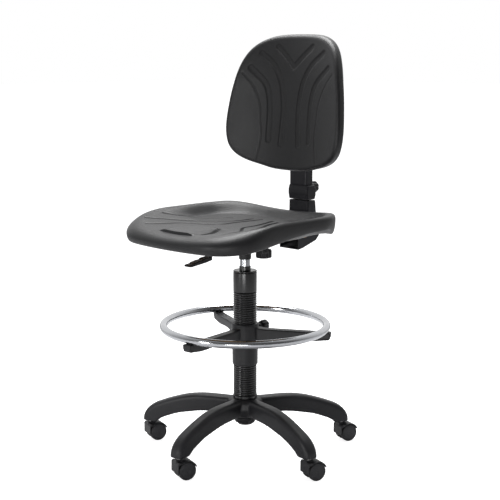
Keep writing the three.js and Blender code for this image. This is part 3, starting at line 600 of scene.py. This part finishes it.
def distanceTo(lines, x, y):
    nearest = np.full(x.shape, 1e9)
    for line in lines:
        for a, b in zip(line[:-1], line[1:]):
            run = b - a
            t = np.clip(((x - a[0]) * run[0] + (y - a[1]) * run[1]) / max(run @ run, 1e-9), 0, 1)
            nearest = np.minimum(nearest, np.hypot(x - a[0] - t * run[0], y - a[1] - t * run[1]))
    return nearest


def mirroredLines(lines):
    return [catmull(line) * side for line in lines for side in (np.array([1, 1]), np.array([-1, 1]))]


def seatPlan():
    s = seatLook
    corners = []
    for cx, cy, r, start in ((1, 1, s["rearR"], 0), (-1, 1, s["rearR"], 90), (-1, -1, s["frontR"], 180),
                             (1, -1, s["frontR"], 270)):
        middleX = cx * (s["halfWidth"] - r)
        middleY = s["rearY"] - r if cy > 0 else s["frontY"] + r
        for a in np.radians(np.linspace(start, start + 90, 24)):
            corners.append((middleX + r * math.cos(a), middleY + r * math.sin(a)))
    loop = evenly(np.array(corners), 900)
    ahead = np.clip((loop[:, 1] + 100) / (s["frontY"] + 100), 0, 1)
    loop[:, 1] -= s["bow"] * (1 - (loop[:, 0] / s["halfWidth"]) ** 2) * ahead
    return evenly(blurred(evenly(loop, 900), 220), s["points"])


def seatSkirt(x, y):
    s = seatLook
    rise = smooth(s["frontY"] - s["bow"], 50, y) * (s["skirtSide"] - s["skirtFront"])
    fall = smooth(95, 165, y) * (s["skirtSide"] - s["skirtRear"]) * smooth(60, 160, np.abs(x))
    return s["skirtFront"] + rise - fall


def seatCrest(x, y):
    s = seatLook
    sideways = (x / s["halfWidth"]) ** 2
    back = smooth(s["frontY"] - s["bow"], s["frontY"] + 190, y)
    climb = (back + (1 - back) * 0.55 * sideways) * (s["crestSide"] - s["crestFront"])
    corner = s["cornerLift"] * smooth(90, s["rearY"], y) * sideways
    return s["crestFront"] + climb + corner - smooth(60, s["rearY"], y) * s["rearDrop"] * (1 - sideways)


def seatPad():
    s = seatLook
    plan = seatPlan()
    px, py = plan[:, 0], plan[:, 1]
    skirt, crest = seatSkirt(px, py), seatCrest(px, py)
    # The edge is a soft roll in front and gets a higher, tighter shoulder along the sides.
    frontWall, sideWall = s["wallShare"]
    middle = skirt + (crest - skirt) * (frontWall + (sideWall - frontWall) * smooth(-230, -100, py))
    rim = s["rimShare"] - s["frontRoll"] * (1 - smooth(s["frontY"] - 10, s["frontY"] + 160, py))
    sharpness = 1 - s["shoulder"] * smooth(-230, -110, py)
    rings = []

    def ring(share, height):
        rings.append(np.stack([px * share, s["midY"] + (py - s["midY"]) * share, height + 0 * px], 1))

    flat, lip, wall = s["flatShare"], s["lipShare"], s["wallFrom"]
    for share in (0.25, 0.45, flat):
        ring(share, s["underside"])
    for t in np.linspace(0.2, 1, 5):
        ring(flat + (lip - flat) * t, s["underside"] + (skirt + 2 - s["underside"]) * smooth(0, 1, t))
    for a in np.radians(np.linspace(90, 0, 10)):
        ring(wall + (1 - wall) * math.cos(a), middle - (middle - skirt) * math.sin(a))
    for a in np.radians(np.linspace(7.5, 90, 14)):
        across = rim + (1 - rim) * math.cos(a) ** sharpness
        ring(across, middle + (crest - middle) * math.sin(a) ** sharpness)
    firstTop = len(rings)
    walled = smooth(-130, 10, py)
    for t in np.linspace(1, 0.02, s["topRings"])[1:]:
        soft = t ** s["frontDip"]
        steep = 0.8 * smooth(*s["dishWall"], t) + 0.2 * t ** 2
        lift = walled * steep + (1 - walled) * soft
        ring(rim * t, s["dish"] + (crest - s["dish"]) * lift)
    rings = np.array(rings)
    top = rings[firstTop:]
    x, y = top[..., 0], top[..., 1]
    raised = (1 - smooth(38, 78, np.abs(x))) * smooth(-100, -170, y) * smooth(-312, -240, y)
    top[..., 2] += s["pommel"] * raised
    away = distanceTo(mirroredLines(seatChannels), x, y)
    press = 1 - smooth(s["channelWidth"] / 2 - 2.4, s["channelWidth"] / 2 + 1.8, away)
    press *= smooth(s["frontY"], s["frontY"] + 50, y)
    top[..., 2] -= press * s["channelDepth"]
    # Painted shade: the pressed channels are marked to be darkened in the skin's colour.
    paintedShade = np.zeros(rings.shape[:2])
    paintedShade[firstTop:] = press
    count = s["points"]
    points = rings.reshape(-1, 3)
    poles = [(0, s["midY"], s["underside"]), (0, s["midY"], top[-1, :, 2].mean())]
    faces = ringFaces(len(rings), count, firstPole=True, lastPole=True)
    points = np.vstack([points, poles])
    mesh = marked(plainMesh(place(points), faces), "channel", np.append(paintedShade.ravel(), [0, 0]))
    # The pocket for the board under the foam is a little larger than the board and open below.
    low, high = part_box("seat_board")
    gap = s["boardGap"] / 1000
    first = (low.x - gap, low.y - gap, low.z - gap - s["boardBelow"] / 1000)
    return boxCut(mesh, first, (high.x + gap, high.y + gap, high.z + gap))


seatSkin = finishPiece("seatSkin", seatPad(), "foamSkin", "seat_unit", ["seat_pad"], sharp=50)
print("seat pad:", len(seatSkin.data.polygons), "faces")


# Back pad

backLook = dict(
    faceY=184, wing=49, halfWidth=218, lean=0.078, curl=14, foot=784, top=1167.5, rim=34, core=44,
    channelWidth=17, channelDepth=2.4, creaseWidth=4, creaseDepth=1.1,
    flatShare=0.93, roll=12, rearShare=0.94, pocket=(2, 0.5, 4, 120, 100), points=420, faceRings=110)
# Half of the outline, as shares of the half width and of the height.
backOutline = [
    (0.22, 0.004), (0.46, 0.028), (0.7, 0.062), (0.86, 0.108), (0.96, 0.18), (1, 0.31), (0.97, 0.5),
    (0.915, 0.66), (0.835, 0.8), (0.715, 0.9), (0.53, 0.963), (0.26, 0.993)]
backChannels = [
    [(0, 1074), (34, 1105), (65, 1130)],
    [(118, 1113), (71, 1079), (43, 1035), (31, 983), (29, 935), (34, 858)],
    [(148, 1072), (97, 1029), (80, 982), (77, 932), (78, 868)],
]
backCreases = [
    [(172, 1058), (144, 1030), (124, 999), (112, 966), (108, 925), (104, 870), (118, 800)],
]


def backFace(x, z):
    b = backLook
    curl = b["curl"] * np.clip((z - b["top"] + 145) / 145, 0, 1) ** 2
    lean = b["lean"] * (z - (b["foot"] + b["top"]) / 2)
    return b["faceY"] - b["wing"] * (x / b["halfWidth"]) ** 2 + lean + curl


def backPad():
    b = backLook
    tall = b["top"] - b["foot"]
    half = [(w * b["halfWidth"], b["foot"] + h * tall) for w, h in backOutline]
    whole = half + [(-x, z) for x, z in reversed(half)]
    plan = evenly(blurred(evenly(catmull(whole, 12, True), 800), 60), b["points"])
    grow = b["halfWidth"] / np.abs(plan[:, 0]).max()
    middleZ = b["foot"] + tall * 0.46
    px, pz = plan[:, 0] * grow, plan[:, 1]
    rings = []

    def ring(share, depth):
        x, z = px * share, middleZ + (pz - middleZ) * share
        rings.append(np.stack([x, backFace(x, z) + depth, z], 1))

    flat, roll, rear = b["flatShare"], b["roll"], b["rearShare"]
    for t in np.linspace(0.01, 1, b["faceRings"]):
        ring(flat * t, 0)
    faceCount = len(rings)
    for a in np.radians(np.linspace(8, 90, 12)):
        ring(flat + (1 - flat) * math.sin(a) ** 0.9, roll * (1 - math.cos(a)))
    for a in np.radians(np.linspace(0, 90, 10)):
        ring(1 - (1 - rear) * (1 - math.cos(a)), b["rim"] - roll + roll * math.sin(a))
    for t in np.linspace(0.12, 0.99, 14):
        ring(rear * (1 - t), b["rim"] + (b["core"] - b["rim"]) * smooth(0, 1, t))
    rings = np.array(rings)
    face = rings[:faceCount]
    away = distanceTo(mirroredLines(backChannels), face[..., 0], face[..., 2])
    press = 1 - smooth(b["channelWidth"] / 2 - 3.2, b["channelWidth"] / 2 + 1.2, away)
    face[..., 1] += press * b["channelDepth"]
    awayFromCrease = distanceTo(mirroredLines(backCreases), face[..., 0], face[..., 2])
    creased = 1 - smooth(0, b["creaseWidth"], awayFromCrease)
    face[..., 1] += creased * b["creaseDepth"]
    # Painted shade: strongest along the channel edges, weaker on the channel floors and in the creases.
    edge = 1 - smooth(0, 3.5, np.abs(away - b["channelWidth"] / 2))
    paintedShade = np.zeros(rings.shape[:2])
    paintedShade[:faceCount] = 0.7 * edge + 0.2 * press + 0.3 * creased
    front = (0, float(face[0, :, 1].mean()), middleZ)
    rear = (0, float(rings[-1, :, 1].mean()), middleZ)
    points = np.vstack([rings.reshape(-1, 3), [front, rear]])
    faces = ringFaces(len(rings), b["points"], firstPole=True, lastPole=True)
    return marked(plainMesh(place(points), faces), "channel", np.append(np.clip(paintedShade, 0, 1).ravel(), [0, 0]))


def backPocket(mesh):
    # The slot in the back of the pad takes the sleeve and its board; it is open behind and below.
    low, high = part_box("back_board")
    sleeveLow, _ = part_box("back_sleeve")
    beside, ahead, above, behind, below = (v / 1000 for v in backLook["pocket"])
    return boxCut(mesh, (low.x - beside, low.y - ahead, sleeveLow.z - below),
                  (high.x + beside, high.y + behind, high.z + above))


backSkin = finishPiece("backSkin", backPocket(backPad()), "foamSkin", "back_rest",
                       ["back_pad"], sharp=50)
print("back pad:", len(backSkin.data.polygons), "faces")


# Column

sleeveLook = dict(radius=30.2, plain=33, bore=27.4, foot=158, head=516.5, collar=34, ribEnd=460,
                  ribCount=47, firstRib=168, pitch=6.3, ribRadius=31.0, ribSection=2.1)


def ribbedSleeve():
    s = sleeveLook
    profile = eased([(s["bore"], s["foot"]), (s["collar"], s["foot"]), (s["collar"], s["foot"] + 7),
                     (s["radius"], s["foot"] + 8), (s["radius"], s["ribEnd"]), (s["plain"], s["ribEnd"] + 2),
                     (s["plain"], s["head"] - 1), (s["plain"] - 1, s["head"]),
                     (s["bore"], s["head"])], 0.8, closed=True)
    points, faces = lathe(profile, 96, closed=True)
    mesh = plainMesh(place(points), faces)
    first = place([(0, 0, s["firstRib"])])[0]
    return grown(ribs, mesh, {
        "Count": s["ribCount"], "First": first.tolist(), "Pitch": (0, 0, s["pitch"] / 1000),
        "Ring Radius": s["ribRadius"] / 1000, "Section": s["ribSection"] / 1000,
        "Finish": finishes["sleeveBlack"]})


finishPiece("sleeveRibs", ribbedSleeve(), "sleeveBlack", "base", ["ribbed_sleeve"])


turnedParts = [
    # piece, node, body, finish, slot, corner radius, profile of (radius, height)
    ("rimCap", "sleeve_cap", "base", "sleeveBlack", "bearing_steel", 0.6,
     [(16.4, 516.8), (32, 516.8), (33, 517.8), (33, 520), (31.8, 521.3), (16.4, 521.3)]),
    ("neckBush", "guide_bush", "base", "sleeveBlack", "sleeve_black", 0.6,
     [(14.3, 420), (23.2, 420), (23.2, 512.2), (25, 512.3), (25, 515.5), (16, 515.6), (16, 532), (15.4, 533),
      (14.3, 533)]),
    ("liftCylinder", "gas_cylinder", "seat_unit", "chrome", "chrome", 0.9,
     [(5.4, 140), (14, 140), (14, 597), (4.4, 597), (4.4, 577), (0.4, 577), (0.4, 560), (12, 560), (12, 150),
      (5.4, 150)]),
    ("taperCup", "taper_socket", "seat_unit", "mechanismBlack", "mechanism_black", 0.6,
     [(14.3, 552), (16, 552), (17, 554), (17, 580.8), (26, 580.8), (26, 583.8), (19, 583.8), (18, 597),
      (14.3, 597)]),
]
for name, node, body, finish, slotName, corner, profile in turnedParts:
    points, faces = lathe(eased(profile, corner, closed=True), 96, closed=True)
    newPiece(name, points, faces, finish, body, slotName, [node])
print("column made")


# Foot ring

ringLook = dict(radius=227.5, tube=11, height=365, steps=224, section=28)


def footRing():
    r = ringLook
    turns = np.arange(r["section"]) * 2 * math.pi / r["section"]
    profile = [(r["radius"] + r["tube"] * math.cos(a), r["height"] + r["tube"] * math.sin(a)) for a in turns]
    return lathe(profile, r["steps"], closed=True)


spiderLook = dict(voxel=1.5, passes=6, underside=(352, 345), along=(110, 205), deepen=11)


def ringSpider():
    # The arms deepen downwards as they run out under the ring.
    s = spiderLook
    mesh = softened(mergedCopy("ring_spider"), s["voxel"], s["passes"])
    for vertex in mesh.vertices:
        out = math.hypot(vertex.co.x - columnX, vertex.co.y - columnY) * 1000
        under = float(smooth(*s["underside"], vertex.co.z * 1000))
        vertex.co.z -= under * float(smooth(*s["along"], out)) * s["deepen"] / 1000
    return mesh


newPiece("footRing", *footRing(), "chrome", "foot_rest", "chrome", ["foot_ring"])
finishPiece("ringSpider", ringSpider(), "ringHubPlastic", "foot_rest", ["ring_spider"],
            sharp=60)


# Star base

baseLook = dict(legs=5, firstAngle=8.16, width=40, rounding=12, voxel=2.4, passes=14,
                hub=52, hubTop=157, wall=5, bore=25.3, hollowFoot=40, ribCount=18, ribRing=27, ribHeight=89,
                ribFacing=(0.79, -0.61), ribSize=(17, 2.6, 1.6))
legTop = [(10, 156), (80, 156.5), (131, 155.5), (175, 149), (215, 137.5), (250, 125), (278, 112.5), (296, 98),
          (307, 80), (310, 62)]
legFoot = [(10, 110), (80, 110.5), (131, 107), (165, 101), (200, 93.5), (232, 82), (252, 73), (262, 66),
           (266, 61.5), (268, 60)]
legRoof = [(62, 147), (131, 147), (175, 141), (215, 129), (242, 117), (250, 108), (250, 96)]


def legWays():
    # For each leg, the direction it runs in and the direction across it.
    for leg in range(baseLook["legs"]):
        a = math.radians(baseLook["firstAngle"] - 90 + 360 / baseLook["legs"] * leg)
        yield np.array([math.cos(a), math.sin(a), 0]), np.array([-math.sin(a), math.cos(a), 0])


def starBase():
    b = baseLook
    top, foot = catmull(legTop, 4), catmull(legFoot, 4)
    count = len(top)
    half, r = b["width"] / 2, b["rounding"]
    # Each section point is (across, share of the way up from the foot, depth below the top).
    section = [(-half + 1, 0, 0), (-half, 0.04, 0)]
    for a in np.radians(np.linspace(0, 90, 8)):
        section.append((-half + r * (1 - math.cos(a)), 1, r * (1 - math.sin(a))))
    section += [(-x, share, d) for x, share, d in reversed(section)]
    points, faces = [], []
    for out, aside in legWays():
        first = len(points)
        for i in range(count):
            slope = top[min(i + 1, count - 1)] - top[max(i - 1, 0)]
            slope = slope / np.linalg.norm(slope)
            normal = np.array([-slope[1], slope[0]])
            for x, share, d in section:
                at = foot[i] + (top[i] - foot[i]) * share - normal * d
                points.append(out * at[0] + aside * x + np.array([0, 0, at[1]]))
        n = len(section)
        for i in range(count - 1):
            for j in range(n):
                k = (j + 1) % n
                near, far = first + i * n, first + (i + 1) * n
                faces.append((near + j, near + k, far + k, far + j))
        faces.append(tuple(first + j for j in reversed(range(n))))
        faces.append(tuple(first + (count - 1) * n + j for j in range(n)))
    hub, hubFaces = lathe([(0, 100), (30, 100), (b["hub"] - 4, 112), (b["hub"], 130), (b["hub"] - 4, 150),
                           (b["hub"] - 12, b["hubTop"]), (0, b["hubTop"])], 64)
    faces += [tuple(v + len(points) for v in f) for f in hubFaces]
    points = np.vstack([points, hub])
    return softened(plainMesh(place(points), faces), b["voxel"], b["passes"])


def legHollows(mesh):
    # The open channel under each leg and the bore of the hub.
    b = baseLook
    half = b["width"] / 2 - b["wall"]
    points, faces = [], []
    roof = catmull(legRoof, 4)
    inner, outer = legRoof[0][0], legRoof[-1][0]
    for out, aside in legWays():
        first = len(points)
        outline = list(map(tuple, roof)) + [(outer, b["hollowFoot"]), (inner, b["hollowFoot"])]
        for side in (-half, half):
            points += [out * r + aside * side + np.array([0, 0, z]) for r, z in outline]
        n = len(outline)
        faces.append(tuple(first + j for j in range(n)))
        faces.append(tuple(first + n + j for j in reversed(range(n))))
        faces += [(first + j, first + n + j, first + n + (j + 1) % n, first + (j + 1) % n) for j in range(n)]
    bore, boreFaces = lathe([(0, 90), (b["bore"], 90), (b["bore"], 170), (0, 170)], 64)
    faces += [tuple(v + len(points) for v in f) for f in boreFaces]
    cutterMesh = plainMesh(place(np.vstack([points, bore])), faces)
    shape = bmesh.new()
    shape.from_mesh(cutterMesh)
    bmesh.ops.recalc_face_normals(shape, faces=shape.faces)
    shape.to_mesh(cutterMesh)
    shape.free()
    return carved(mesh, cutterMesh, use_self=True)


finishPiece("starBase", legHollows(starBase()), "baseNylon", "base", ["star_base"], sharp=42)


def boxShape(x, y, z):
    # A small block in metres with its foot a little below the origin.
    corners = [(sx * x / 2000, sy * y / 2000, h / 1000) for h in (-1.5, z) for sx, sy in
               ((-1, -1), (1, -1), (1, 1), (-1, 1))]
    return corners, boxSides


def hubCup():
    # The ribbed cup under the hub, with the ribs standing on its slope.
    profile = eased([(14, 96.3), (34, 102), (34, 98), (20, 80), (14, 80)], 1.0, closed=True)
    points, faces = lathe(profile, 72, closed=True)
    spots = []
    b = baseLook
    outward, upward = b["ribFacing"]
    for a in np.arange(b["ribCount"]) * 2 * math.pi / b["ribCount"]:
        normal = np.array([math.cos(a) * outward, math.sin(a) * outward, upward])
        spots.append(((b["ribRing"] * math.cos(a), b["ribRing"] * math.sin(a), b["ribHeight"]), normal))
    cupRibs = standing(*boxShape(*b["ribSize"]), spots, "baseNylon")
    newPiece("hubCup", points, faces, "baseNylon", "base", "base_nylon")
    finishPiece("cupRibs", cupRibs, "baseNylon", "base")


hubCup()
print("base made")


# Casters

casterLook = dict(radius=25, width=14.4, capRadius=19.5, recess=0.9, treadFrom=(23, 24.6),
                  hoodVoxel=0.9, hoodPasses=5)


def wheelShape():
    c = casterLook
    inner, outer = 0.0, c["width"]
    profile = [(3.3, inner), (21.5, inner), (23.5, inner + 0.8), (c["radius"], inner + 3),
               (c["radius"], outer - 3), (23.6, outer - 0.8), (21.4, outer), (c["capRadius"] + 0.6, outer),
               (c["capRadius"] + 0.3, outer - c["recess"]), (c["capRadius"] - 0.4, outer - c["recess"]),
               (c["capRadius"] - 1.2, outer - 0.2), (6, outer + 0.15), (5, outer - 0.35), (0, outer - 0.5)]
    return [(0, inner + 1)] + [(3.3, inner + 1)] + [tuple(p) for p in eased(profile, 0.6)]


def casterWheels(number):
    c = casterLook
    for side, other in (("left", "right"), ("right", "left")):
        node = f"wheel_{side}_{number}"
        low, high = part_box(node)
        otherLow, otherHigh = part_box(f"wheel_{other}_{number}")
        middle, otherMiddle = (low + high) / 2, (otherLow + otherHigh) / 2
        axis = (middle - otherMiddle).normalized()
        start = (middle - axis * c["width"] / 2000) * 1000 - Vector((columnX, columnY, 0)) * 1000
        profile = wheelShape()
        points, faces = latheBetween(profile, start, start + axis, 64)
        away = np.linalg.norm(np.cross(points - np.array(start), np.array(axis)), axis=1)
        mesh = marked(plainMesh(place(points), faces), "tread", smooth(*c["treadFrom"], away))
        finishPiece(f"casterWheel{side.capitalize()}{number}", mesh, "wheelPlastic", f"{side}_wheel_{number}",
                    [node])


def casterHoods():
    c = casterLook
    first = softened(mergedCopy("caster_hood_1"), c["hoodVoxel"], c["hoodPasses"])
    base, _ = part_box("caster_hood_1")
    for number in casterNumbers:
        low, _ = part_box(f"caster_hood_{number}")
        mesh = first.copy()
        mesh.transform(Matrix.Translation(low - base))
        finishPiece(f"casterHood{number}", mesh, "casterPlastic", f"caster_{number}",
                    [f"caster_hood_{number}"], sharp=60)


for number in casterNumbers:
    casterWheels(number)
casterHoods()
print("casters made")


# Mechanism, covers and lever

softParts = [
    # piece, node, body, finish, slot, voxel, passes
    ("mechanismTray", "mechanism_housing", "seat_unit", "mechanismBlack", "mechanism_black", 1.0, 4),
    ("tiltBracket", "tilt_bracket", "tilt_arm", "mechanismBlack", "mechanism_black", 0.9, 3),
    ("elbowCover", "elbow_cover", "back_arm", "coverPlastic", "cover_plastic", 0.9, 7),
    ("uprightCover", "upright_cover", "back_arm", "coverPlastic", "cover_plastic", 0.9, 7),
    ("backCollar", "back_collar", "back_rest", "coverPlastic", "cover_plastic", 0.9, 8),
    ("backSleeve", "back_sleeve", "back_rest", "coverPlastic", "cover_plastic", 1.1, 6),
    ("leverPaddle", "lever_paddle", "lever", "knobPlastic", "knob_plastic", 0.7, 4),
    ("leverRod", "lever_rod", "lever", "blackSteel", "mechanism_black", 0.8, 4),
    ("barSteel", "j_bar", "back_arm", "blackSteel", "mechanism_black", 1.2, 2),
]
for name, node, body, finish, slotName, voxel, passes in softParts:
    finishPiece(name, softened(mergedCopy(node), voxel, passes), finish, body, [node], sharp=60)
print("covers made")


# Knobs

# A knob's profile of (radius, height) starts on its outer face; its axis runs from start towards end.
ringOut = (math.cos(math.radians(95)), math.sin(math.radians(95)))
knobLooks = {
    "depthKnob": dict(node="depth_knob", body="depth_clamp", radius=23, flutes=8, depth=2.2,
                      start=(0, 74, 546), end=(0, 74, 600),
                      profile=[(0, 0), (17, 0), (21.5, 1.2), (23, 4), (23, 20), (21, 24), (14, 25.5),
                               (12, 28), (5.6, 28), (5.6, 14.3), (0, 14.3)]),
    "backKnob": dict(node="back_knob", body="back_clamp", radius=17, flutes=7, depth=2.0,
                     start=(0, 288, 730), end=(0, 200, 730),
                     profile=[(0, 0), (14, 0), (16.4, 1.5), (17, 4), (17, 20), (15.5, 24), (9, 26), (8, 36),
                              (4.2, 36), (4.2, 53.3), (0, 53.3)]),
    "ringKnob": dict(node="ring_knob", body="ring_clamp", radius=15, flutes=6, depth=2.6,
                     start=(ringOut[0] * 92, ringOut[1] * 92, 350), end=(0, 0, 350),
                     profile=[(0, 0), (12, 0), (14.4, 1.2), (15, 3.5), (15, 19), (13, 22), (8, 24), (7, 34),
                              (5, 34), (5, 54), (0, 54)]),
}


def knob(name, look):
    points, faces = lathe(eased(look["profile"], 1.2), 120)
    mesh = grown(flutes, plainMesh(points / 1000, faces), {
        "Flutes": float(look["flutes"]), "Depth": look["depth"] / 1000, "Rim": look["radius"] / 1000,
        "Finish": finishes["knobPlastic"]})
    axis = (Vector(look["end"]) - Vector(look["start"])).normalized()
    home = Vector(place([look["start"]])[0].tolist())
    mesh.transform(Matrix.Translation(home) @ axis.to_track_quat("Z", "Y").to_matrix().to_4x4())
    finishPiece(name, mesh, "knobPlastic", look["body"], [look["node"]], sharp=45)


for name, look in knobLooks.items():
    knob(name, look)
print("knobs made")


# Screws

screwLook = dict(head=4.2, height=1.6, socket=2.1, sink=1.1, plate=614, places=((78, -86), (62, -8)))


def screwShape():
    # A low round head with a six-sided socket, in metres, foot at the origin.
    s = screwLook
    radii = [(s["head"], -1.0, 24), (s["head"], s["height"] * 0.55, 24), (s["head"] * 0.8, s["height"], 24)]
    points = [(r * math.cos(2 * math.pi * i / n), r * math.sin(2 * math.pi * i / n), z)
              for r, z, n in radii for i in range(n)]
    hexagon = []
    for z in (s["height"], s["height"] - s["sink"]):
        for i in range(24):
            corner, t = divmod(i, 4)
            a, b = (2 * math.pi * (corner + k) / 6 for k in (0, 1))
            hexagon.append((s["socket"] * (math.cos(a) * (1 - t / 4) + math.cos(b) * t / 4),
                            s["socket"] * (math.sin(a) * (1 - t / 4) + math.sin(b) * t / 4), z))
    points = np.array(points + hexagon) / 1000
    faces = ringFaces(5, 24)
    faces.append(tuple(reversed(range(24))))
    faces.append(tuple(4 * 24 + i for i in range(24)))
    return points, faces


screwSpots = [((side * x, y, screwLook["plate"]), (0, 0, -1))
              for side in (-1, 1) for x, y in screwLook["places"]]
finishPiece("screwsSeatUnit", standing(*screwShape(), screwSpots, "pinSteel"), "pinSteel", "seat_unit",
            sharp=30)


# CAD pieces that stay

keptFinishes = {
    "column_tube": "blackSteel", "thrust_bearing": "bearingSteel", "piston_rod": "chrome",
    "retaining_clip": "bearingSteel", "hub_liner": "linerPlastic", "valve_pin": "pinSteel",
    "seat_plate": "mechanismBlack", "seat_board": "seatPly", "lever_pin": "pinSteel",
    "tilt_pin": "blackSteel", "tilt_spring": "blackSteel", "depth_stud": "blackSteel",
    "back_board": "blackSteel", "caster_stem": "pinSteel", "caster_axle": "pinSteel",
}
for name, cadNode in nodes.items():
    finish = keptFinishes.get(name) or keptFinishes.get(name.rsplit("_", 1)[0])
    if finish:
        cadNode.data.materials.clear()
        cadNode.data.materials.append(finishes[finish])
print("kept pieces finished")


# Floor, light and camera

# Camera rays alone meet a glowing floor and a full white room. All other rays, and so the light on the
# chair and its reflections, meet a plain floor and a room that is dim in front and bright towards the sweep.
stageLook = dict(floor=(0.6, 0.6, 0.61), glow=0.85, sweep=(-0.68, 0.68, 0.27), room=(0.12, 1.0), size=60)
lightLooks = {
    "topLight": dict(where=(-0.7, 0.5, 3.0), target=(0, 0, 0.6), size=(1.8, 1.8), power=130),
    "frontLight": dict(where=(-0.45, -3.4, 0.9), target=(0, 0, 0.95), size=(0.6, 1.0), power=34),
    "lowLight": dict(where=(1.5, -2.2, 0.35), target=(0, 0, 0.05), size=(1.2, 0.5), power=16),
}
cameraLook = dict(lens=85.09, place=(2288.1, -2268.6, 1124.95), tilt=80.35, turn=45)


def stageFloor():
    half = stageLook["size"] / 2
    mesh = bpy.data.meshes.new("floor")
    corners = [(-half, -half, 0), (half, -half, 0), (half, half, 0), (-half, half, 0)]
    mesh.from_pydata(corners, [], [(0, 1, 2, 3)])
    material, tree, shader = newMaterial("paleFloor")
    patch = noiseOn(tree, objectPlace(tree), 3.0, 3.0)
    floorTint = mixColours(tree, patch, stageLook["floor"], tuple(v * 1.02 for v in stageLook["floor"]))
    tree.links.new(floorTint, shader.inputs["Base Color"])
    shader.inputs["Roughness"].default_value = 0.9
    seen = addNode(tree, "ShaderNodeLightPath").outputs["Is Camera Ray"]
    tree.links.new(math2(tree, "MULTIPLY", seen, stageLook["glow"]), shader.inputs["Emission Strength"])
    shader.inputs["Emission Color"].default_value = (1, 1, 1, 1)
    mesh.materials.append(material)
    floor = bpy.data.objects.new("floor", mesh)
    bpy.context.scene.collection.objects.link(floor)


def softLight(name, look):
    light = bpy.data.lights.new(name, "AREA")
    light.shape = "RECTANGLE"
    light.size, light.size_y = look["size"]
    light.energy = look["power"]
    lamp = bpy.data.objects.new(name, light)
    bpy.context.scene.collection.objects.link(lamp)
    lamp.location = look["where"]
    lamp.rotation_euler = (Vector(look["target"]) - lamp.location).to_track_quat("-Z", "Y").to_euler()


def studio():
    world = bpy.data.worlds.new("studio")
    world.use_nodes = True
    tree = world.node_tree
    sky = tree.nodes["Background"]
    way = addNode(tree, "ShaderNodeVectorMath", {"operation": "DOT_PRODUCT"})
    tree.links.new(addNode(tree, "ShaderNodeTexCoord").outputs["Generated"], way.inputs[0])
    way.inputs[1].default_value = stageLook["sweep"]
    dim, bright = stageLook["room"]
    level = remap(tree, way.outputs["Value"], -0.35, 0.75, dim, bright)
    seen = addNode(tree, "ShaderNodeLightPath").outputs["Is Camera Ray"]
    tree.links.new(math2(tree, "MAXIMUM", level, seen), sky.inputs["Strength"])
    sky.inputs["Color"].default_value = (1, 1, 1, 1)
    bpy.context.scene.world = world
    for name, look in lightLooks.items():
        softLight(name, look)


def camera():
    data = bpy.data.cameras.new("camera")
    data.lens = cameraLook["lens"]
    data.clip_end = 100
    cam = bpy.data.objects.new("camera", data)
    bpy.context.scene.collection.objects.link(cam)
    cam.location = place([cameraLook["place"]])[0]
    cam.rotation_euler = (math.radians(cameraLook["tilt"]), 0, math.radians(cameraLook["turn"]))
    bpy.context.scene.camera = cam


stageFloor()
studio()
camera()
bpy.context.scene.view_settings.view_transform = "Standard"
print("stage made")
